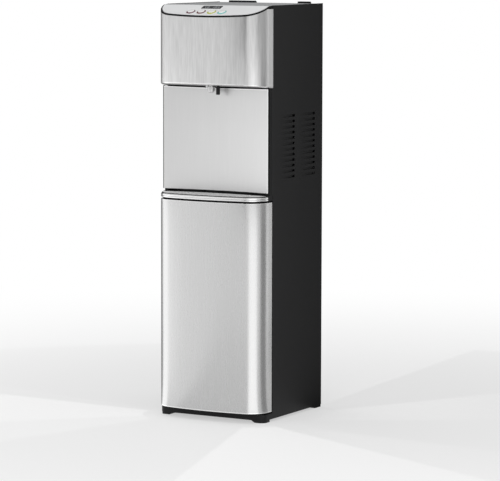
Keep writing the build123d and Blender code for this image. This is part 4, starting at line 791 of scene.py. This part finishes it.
# %% Tube
def round_tube(bm, corners, radius, bend, sides=14, bend_steps=6):
    """A closed round tube through corner points, with each corner rounded to the bend radius."""
    corners = [Vector(corner) for corner in corners]
    heading = (corners[1] - corners[0]).normalized()
    place = Matrix.Translation(corners[0]) @ heading.to_track_quat("Z", "Y").to_matrix().to_4x4()
    before = set(bm.edges)
    bmesh.ops.create_circle(bm, segments=sides, radius=radius, matrix=place)
    ring = [edge for edge in bm.edges if edge not in before]
    first = ring
    here = corners[0]

    def onward(ring, centre, axis, angle, step, steps):
        verts = list({vert for edge in ring for vert in edge.verts})
        out = bmesh.ops.spin(bm, geom=verts + ring, cent=centre, axis=axis, angle=angle, dvec=step,
                             steps=steps)
        return only(bmesh.types.BMEdge, out["geom_last"])

    for corner, after in zip(corners[1:], corners[2:]):
        out = (after - corner).normalized()
        turn = heading.angle(out)
        cut = bend * tan(turn / 2)
        ring = onward(ring, here, UP, 0, corner - heading * cut - here, 1)
        axis = heading.cross(out).normalized()
        centre = corner - heading * cut + axis.cross(heading) * bend
        ring = onward(ring, centre, axis, turn, (0, 0, 0), bend_steps)
        here, heading = corner + out * cut, out
    ring = onward(ring, here, UP, 0, corners[-1] - here, 1)
    bmesh.ops.edgeloop_fill(bm, edges=first)
    bmesh.ops.edgeloop_fill(bm, edges=ring)


# %% [markdown]
# ## The condenser
# The condenser on the back is a long tube bent to and fro, with thin wires welded across it on
# both sides. From behind it is the first thing that shows, so its tube and wires are made round
# here, where the CAD solids have a few flat sides. Two folded rails carry it.

# %% Condenser
COIL_Y = 0.16755
COIL_RADIUS = 0.0024
COIL_START = 0.080
COIL_EDGE = 0.103
COIL_TOP = 0.826
COIL_PITCH = 0.062
COIL_RUNS = 9
COIL_BEND = 0.023
COIL_TAIL = 0.040
WIRE_RADIUS = 0.00075
WIRE_HALF = 0.072
WIRE_COUNT = 15
WIRE_SPARE = 0.020
RAIL_HALF = 0.006
RAIL_SHEET = 0.0015

corners = [(COIL_START, COIL_Y, COIL_TOP)]
for run in range(COIL_RUNS - 1):
    side = -COIL_EDGE if run % 2 == 0 else COIL_EDGE
    height = COIL_TOP - run * COIL_PITCH
    corners += [(side, COIL_Y, height), (side, COIL_Y, height - COIL_PITCH)]
coil_base = COIL_TOP - (COIL_RUNS - 1) * COIL_PITCH
corners += [(-COIL_EDGE, COIL_Y, coil_base), (-COIL_EDGE, COIL_Y, coil_base - COIL_TAIL)]
bm = bmesh.new()
round_tube(bm, corners, COIL_RADIUS, COIL_BEND)
make_piece("condenser_tube", bm, "cabinet", finishes["black_paint"], ["condenser_coil"])

low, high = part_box("condenser_wires")
wire_length = COIL_TOP - coil_base + 2 * WIRE_SPARE
wire_middle = (COIL_TOP + coil_base) / 2
offset = COIL_RADIUS + WIRE_RADIUS
bm = bmesh.new()
for step in range(WIRE_COUNT):
    x = -WIRE_HALF + 2 * WIRE_HALF * step / (WIRE_COUNT - 1)
    for y in (COIL_Y - offset, COIL_Y + offset):
        bmesh.ops.create_cone(bm, cap_ends=True, segments=8, radius1=WIRE_RADIUS, radius2=WIRE_RADIUS,
                              depth=wire_length, matrix=Matrix.Translation((x, y, wire_middle)))
rail_rear = COIL_Y - offset - WIRE_RADIUS
rail_front = rail_rear - RAIL_SHEET
for height in (coil_base + COIL_PITCH / 2, COIL_TOP - COIL_PITCH / 2):
    box_at(bm, (low.x, rail_front, height - RAIL_HALF), (high.x, rail_rear, height + RAIL_HALF))
    for edge_z in (height - RAIL_HALF, height + RAIL_HALF - RAIL_SHEET):
        box_at(bm, (low.x, low.y, edge_z), (high.x, rail_front, edge_z + RAIL_SHEET))
make_piece("condenser_grid", bm, "cabinet", finishes["black_paint"], ["condenser_wires"])
print("condenser wires:", 2 * WIRE_COUNT)

# %% [markdown]
# ## Outlets
# The cold outlet is a silver cup with a round lower end, and the hot one is a slim black nozzle.
# Both hang under the head. Their bores stay open, because water comes out of them. A small lug
# stands at the cold one's left.

# %% Outlets
OUTLET_Y = -0.12245
LUG_ROUND = 0.0012


def outlet(name, stands_for, outline, finish, lug=None):
    """A turned outlet under the head, with its shank going up through the head's floor."""
    low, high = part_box(stands_for)
    bm = bmesh.new()
    place = Matrix.Translation(((low.x + high.x) / 2, OUTLET_Y, low.z))
    lathe(bm, outline, place, 40)
    if lug:
        block = set(box_at(bm, *lug, place))
        soften(bm, [edge for edge in bm.edges if set(edge.verts) <= block], LUG_ROUND, 4)
    make_piece(name, bm, "cabinet", finish, [stands_for])


def quarter(radius, centre_r, centre_z, start, steps=8):
    """Points of a quarter circle in an outline, from start degrees on."""
    angles = [radians(start + 90 * step / steps) for step in range(steps + 1)]
    return [(centre_r + radius * cos(a), centre_z + radius * sin(a)) for a in angles]


cold_round = [(3, 20), (3, 0)] + quarter(6.4, 3, 6.4, -90)
cold_round += [(9.4, 15), (6.4, 15.2), (6.4, 31.5), (3, 31.5), (3, 20)]
hot_round = [(3, 20), (3, 0.2), (3.3, 0)] + quarter(1.4, 3.6, 1.4, -90)
hot_round += [(5, 19.8), (4, 20.2), (4, 36), (3, 36), (3, 20)]
cold_lug = ((-0.0145, -0.0035, 0.0130), (-0.0070, 0.0035, 0.0200))
outlet("cold_spout", "cold_outlet", cold_round, finishes["silver"], cold_lug)
outlet("hot_spout", "hot_outlet", hot_round, finishes["black_plastic"])
print("outlets: 2")

# %% [markdown]
# ## Filter cartridges
# With the door open, the two cartridges fill the lower bay. Each is a turned bottle with a bayonet
# neck and two lugs, and a ring of grip ribs near its foot for turning it by hand.

# %% Cartridges
GRIPS = 16


def cartridge(name):
    """A turned cartridge with lugs and grip ribs."""
    low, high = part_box(name)
    middle = (low + high) / 2
    place = Matrix.Translation((middle.x, middle.y, low.z))
    outline = [(0, 0.6), (20, 0), (23, 0)] + quarter(8, 23, 8, -90)
    outline += [(31, 66), (30.4, 67), (30.4, 69), (31, 70), (31, 246), (30, 249), (27, 250)]
    outline += [(20, 250), (20, 267.3), (19, 268.3), (0, 268.3)]
    bm = bmesh.new()
    lathe(bm, outline, place, 64)
    for side in (-1, 1):
        ends = sorted((side * 0.019, side * 0.0229))
        box_at(bm, (-0.006, ends[0], 0.2640), (0.006, ends[1], 0.2680), place)
    for grip in range(GRIPS):
        turn = place @ Matrix.Rotation(2 * pi * (grip + 0.5) / GRIPS, 4, "Z")
        box_at(bm, (0.0300, -0.0014, 0.014), (0.0314, 0.0014, 0.060), turn)
    make_piece(name + "_shell", bm, name, finishes["white_plastic"], [name])


cartridge("sediment_cartridge")
cartridge("carbon_cartridge")
print("grip ribs on each cartridge:", GRIPS)

# %% [markdown]
# ## Compressor
# The lower back is open for air, so the compressor's welded shell shows. It is a drawn steel can
# with a rounded lid and a raised seam, on a foot plate that stands on four rubber mounts.

# %% Compressor
PLATE = 0.003
PLATE_ROUND = 0.009
CAN_X = -0.040
CAN_Y = 0.10485


def rise(edge):
    """How far an edge climbs."""
    return abs(edge.verts[0].co.z - edge.verts[1].co.z)


low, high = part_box("compressor")
place = Matrix.Translation((CAN_X, CAN_Y, low.z))
outline = [(0, 3), (54, 3), (54, 77), (55.4, 77.6), (56, 79), (55.4, 80.4), (54, 81), (54, 119)]
for angle in range(10, 100, 10):
    outline.append((40 + 14 * cos(radians(angle)), 119 + 22 * sin(radians(angle))))
outline.append((0, 141))
bm = bmesh.new()
lathe(bm, outline, place, 72)
box_at(bm, (0.048, -0.018, 0.033), (0.068, 0.018, 0.073), place)
plate = set(box_at(bm, (-0.080, -0.050, 0), (0.080, 0.050, PLATE), place))
corners = [edge for edge in bm.edges if set(edge.verts) <= plate and rise(edge) > PLATE / 2]
bmesh.ops.bevel(bm, geom=corners, offset=PLATE_ROUND, affect="EDGES", segments=4, profile=0.5, material=-1)
make_piece("compressor_can", bm, "cabinet", finishes["black_paint"], ["compressor"])
print("compressor box:", [round(value, 4) for value in high - low])

# %% [markdown]
# ## Rear fittings
# Two drain caps and nine screws are on the back. They are turned shapes that point backwards, so one
# place matrix turns the lathe's axis onto +Y. Thin black bars in each screw's head paint the shade
# of its cross recess, and the caps have ribs to grip them by.

# %% Rear fittings
REAR_FACE = 0.14995
REARWARD = Matrix.Rotation(-pi / 2, 4, "X")
SCREW_PLACES = [(x, z) for x in (-0.1219, 0, 0.1219) for z in (0.577, 0.783, 1.0287)]
SCREW_HEAD = [(0, 2.0), (1.6, 1.95), (2.8, 1.6), (3.6, 0.9), (4.0, 0), (0, 0)]
SCREW_TURN = 0.7
CAP_GRIPS = 18


def rear_place(x, z):
    """A place on the back whose upright axis points backwards."""
    return Matrix.Translation((x, REAR_FACE, z)) @ REARWARD


bm = bmesh.new()
for x, z in SCREW_PLACES:
    lathe(bm, SCREW_HEAD, rear_place(x, z), 20)
make_piece("rear_screws", bm, "cabinet", finishes["zinc"])
# Painted shade: black bars where each screw head's cross recess is in shadow.
bm = bmesh.new()
for index, (x, z) in enumerate(SCREW_PLACES):
    turn = rear_place(x, z) @ Matrix.Rotation(SCREW_TURN * index, 4, "Z")
    box_at(bm, (-0.0018, -0.0003, 0.0018), (0.0018, 0.0003, 0.00203), turn)
    box_at(bm, (-0.0003, -0.0018, 0.0018), (0.0003, 0.0018, 0.00203), turn)
make_piece("rear_screw_recess_shade", bm, "cabinet", finishes["black_plastic"])

for name, x, z in (("hot_drain_cap", 0.128, 0.605), ("cold_drain_cap", -0.128, 0.752)):
    cap = [(3.95, 3), (3.95, 9.05), (7.05, 9.05), (7.05, 0.3), (9.6, 0.3), (9.6, 10.8), (8.4, 12)]
    cap += [(0, 12), (0, 3), (3.95, 3)]
    bm = bmesh.new()
    lathe(bm, cap, rear_place(x, z))
    for grip in range(CAP_GRIPS):
        turn = rear_place(x, z) @ Matrix.Rotation(2 * pi * grip / CAP_GRIPS, 4, "Z")
        box_at(bm, (0.0094, -0.0005, 0.0008), (0.0099, 0.0005, 0.0102), turn)
    make_piece(name + "_ribbed", bm, name, finishes["black_plastic"], [name])
print("screws:", len(SCREW_PLACES))

# %% [markdown]
# ## Base, feet and louvres
# The base's front corners are tighter than in the solids, and the louvres sit a little lower. A copy of
# each solid's mesh is merged, and only the points of the corner or of the louvres are moved, so
# that everything else stays as it is.

# %% Adjusted copies
BASE_FRONT = -0.13445
BASE_ROUND = 0.032
TIGHT_ROUND = 0.015
BASE_WALL = 0.004
LOUVRE_LOW = 0.600
LOUVRE_HIGH = 0.785
LOUVRE_DROP = 0.0075


def tighten(place):
    """Moves a point near the base's front corner from the wide round to the tight one."""
    side = 1 if place.x > 0 else -1
    offset = Vector((side * place.x - HALF + BASE_ROUND, place.y - BASE_FRONT - BASE_ROUND))
    if offset.x <= 0 or offset.y >= 0 or offset.length < BASE_ROUND - BASE_WALL:
        return place
    way = offset.normalized()
    step = BASE_ROUND - TIGHT_ROUND
    flat = BASE_ROUND / max(way.x, -way.y)
    middle = way.x * step - way.y * step
    inside = middle**2 - 2 * step**2 + TIGHT_ROUND**2
    on_round = min(way.x, -way.y) * flat > step
    reach = middle + sqrt(inside) if on_round else flat
    push = reach - BASE_ROUND
    return place + Vector((side * way.x * push, way.y * push, 0))


def lower_louvre(place):
    """Lowers a point of a louvre."""
    if LOUVRE_LOW < place.z < LOUVRE_HIGH:
        return place - Vector((0, 0, LOUVRE_DROP))
    return place


def adjusted_copy(node, name, move):
    """A merged copy of a solid's mesh, with some points moved."""
    bm = bmesh.new()
    bm.from_mesh(frame["nodes"][node].data)
    bmesh.ops.remove_doubles(bm, verts=bm.verts, dist=1e-6)
    for vert in bm.verts:
        vert.co = move(vert.co)
    make_piece(name, bm, "cabinet", finishes[slots[node]], [node], closed=False)


adjusted_copy("base_moulding", "base_plinth", tighten)
adjusted_copy("feet", "tapered_feet", tighten)
adjusted_copy("left_side_panel", "left_side_sheet", lower_louvre)
adjusted_copy("right_side_panel", "right_side_sheet", lower_louvre)
print("adjusted copies: 4")

# %% [markdown]
# ## The studio
# A pale floor, a white world and three large soft lamps. What the camera and the metal see of the
# world and of the far floor is plain white, at strength 1. Near the product the floor is half shaded
# and half white, so that it keeps a soft shadow. The world lights the product less than it shows.

# %% Floor and world
FLOOR_NEAR = 0.5
FLOOR_FAR = 2.6
FLOOR_SHOWN = 0.5
WORLD_LIGHT = 0.5


def seen_directly(finish):
    """1 for rays from the camera, from a reflection or through glass, and 0 for the others."""
    kinds = ("Is Camera Ray", "Is Glossy Ray", "Is Transmission Ray")
    camera, glossy, through = [finish.node("LightPath", out=kind) for kind in kinds]
    return 1 - (1 - camera) * (1 - glossy) * (1 - through)


floor = Finish("floor", (0.8, 0.8, 0.8), 0.6)
distance = floor.node("VectorMath", {"operation": "LENGTH"}, {0: floor.place()}, out="Value")
far = floor.node("MapRange", {"interpolation_type": "SMOOTHSTEP"}, {0: distance, 1: FLOOR_NEAR, 2: FLOOR_FAR})
glow = floor.node("Emission", sockets={"Color": (1, 1, 1, 1), "Strength": 1.0})
shown = seen_directly(floor) * (FLOOR_SHOWN + far * (1 - FLOOR_SHOWN))
mixed = floor.node("MixShader", sockets={0: shown, 1: Value(floor, floor.shader.outputs[0]), 2: glow})
floor.feed(floor.tree.nodes["Material Output"].inputs["Surface"], mixed)

bm = bmesh.new()
bmesh.ops.create_grid(bm, x_segments=8, y_segments=8, size=60)
mesh = bpy.data.meshes.new("floor")
bm.to_mesh(mesh)
bm.free()
mesh.materials.append(floor.material)
ground = bpy.data.objects.new("floor", mesh)
bpy.context.scene.collection.objects.link(ground)

world = bpy.data.worlds.new("studio")
bpy.context.scene.world = world
world.use_nodes = True


class WorldFinish(Finish):
    """The same node helpers, on the world's own tree."""

    def __init__(self, world):
        self.tree = world.node_tree
        self.shader = self.tree.nodes["Background"]


sky = WorldFinish(world)
sky.set("Color", (1, 1, 1, 1))
sky.set("Strength", WORLD_LIGHT + seen_directly(sky) * (1 - WORLD_LIGHT))
print("world light:", WORLD_LIGHT)

# %% [markdown]
# ## Lamps and cards
# A curved sheet of steel is a mirror of its studio, so its bright and dark bands are made with cards,
# as a photographer would: white ones for the light bands, and darker ones for the band at the right
# corner, for the left side and for the black side. The door's cards lie on the floor from close to
# the product outwards and then stand up, so that each band runs the door's full height. The head's
# two cards hang above them. Only reflections see the cards. Three large soft lamps, which
# reflections don't see, give the light itself.

# %% Lamps and cards
PRODUCT_MIDDLE = Vector((0, 0, 0.5))
RIGHT_CORNER = (HALF - CORNER, -0.110)
LEFT_CORNER = (CORNER - HALF, -0.110)
CARD_NEAR = 0.10
CARD_REACH = 1.25
CARD_TOP = 2.4
CARD_STEPS = 8
CARD_LIFT = 0.001
FOLD_Z = 0.002


def make_lamp(name, azimuth, rise, distance, width, height, brightness):
    """A large soft lamp that faces the product. Its power follows from its brightness, where 1 is white."""
    a, e = radians(azimuth), radians(rise)
    way = Vector((sin(a) * cos(e), -cos(a) * cos(e), sin(e)))
    data = bpy.data.lights.new(name, "AREA")
    data.shape = "RECTANGLE"
    data.size, data.size_y = width, height
    data.energy = brightness * pi * width * height
    lamp = bpy.data.objects.new(name, data)
    turn = way.to_track_quat("Z", "Y").to_matrix().to_4x4()
    lamp.matrix_world = Matrix.Translation(PRODUCT_MIDDLE + way * distance) @ turn
    lamp.visible_camera = lamp.visible_glossy = False
    bpy.context.scene.collection.objects.link(lamp)


def make_card(name, centre, first, last, brightness, base, top):
    """A card round a centre, between two azimuths. With no base it also lies on the floor."""
    bm = bmesh.new()
    rows = [(CARD_REACH, base), (CARD_REACH, top)]
    if base == 0.0:
        rows = [(CARD_NEAR, 0.0), (CARD_REACH, FOLD_Z), (CARD_REACH, top)]
    way = Vector((sin(radians(first)), -cos(radians(first)), 0))
    middle = Vector((*centre, CARD_LIFT))
    points = [bm.verts.new(middle + way * distance + UP * z) for distance, z in rows]
    geometry = points + [bm.edges.new(pair) for pair in zip(points, points[1:])]
    angle = radians(last - first)
    bmesh.ops.spin(bm, geom=geometry, cent=middle, axis=UP, angle=angle, steps=CARD_STEPS)
    mesh = bpy.data.meshes.new(name)
    bm.to_mesh(mesh)
    bm.free()
    card = Finish(name, (0.01, 0.01, 0.01), 0.9)
    glow = card.node("Emission", sockets={"Color": (1, 1, 1, 1), "Strength": brightness})
    card.feed(card.tree.nodes["Material Output"].inputs["Surface"], glow)
    card.material.cycles.emission_sampling = "NONE"
    mesh.materials.append(card.material)
    piece = bpy.data.objects.new(name, mesh)
    piece.visible_camera = piece.visible_diffuse = piece.visible_shadow = piece.visible_transmission = False
    bpy.context.scene.collection.objects.link(piece)


make_lamp("front_lamp", 16, 12, 3.2, 2.0, 3.4, 1.4)
make_lamp("left_lamp", -110, 8, 2.8, 3.0, 3.4, 1.1)
make_lamp("top_lamp", 20, 78, 2.6, 2.2, 2.2, 1.3)
cards = [
    ("left_white_card", LEFT_CORNER, -93, -46, 1.6, 0.0, 0.70),
    ("left_pale_card", LEFT_CORNER, -46, -18, 1.06, 0.0, 0.72),
    ("left_black_card", LEFT_CORNER, -165, -102, 0.24, 0.0, CARD_TOP),
    ("head_streak_card", RIGHT_CORNER, -13, 2, 0.0, 0.77, 1.60),
    ("front_white_card", RIGHT_CORNER, 17, 64, 1.6, 0.0, 0.70),
    ("corner_black_card", RIGHT_CORNER, 84, 122, 0.34, 0.0, 0.72),
    ("head_grey_card", RIGHT_CORNER, 56, 130, 0.56, 0.72, 1.60),
    ("side_black_card", (HALF, 0.04), 151, 184, 0.01, 0.0, CARD_TOP),
]
for card in cards:
    make_card(*card)
print("cards:", len(cards))

# %% [markdown]
# ## Closing
# The view settings keep colours as they are written.

# %% Finish
bpy.context.scene.view_settings.view_transform = "Standard"
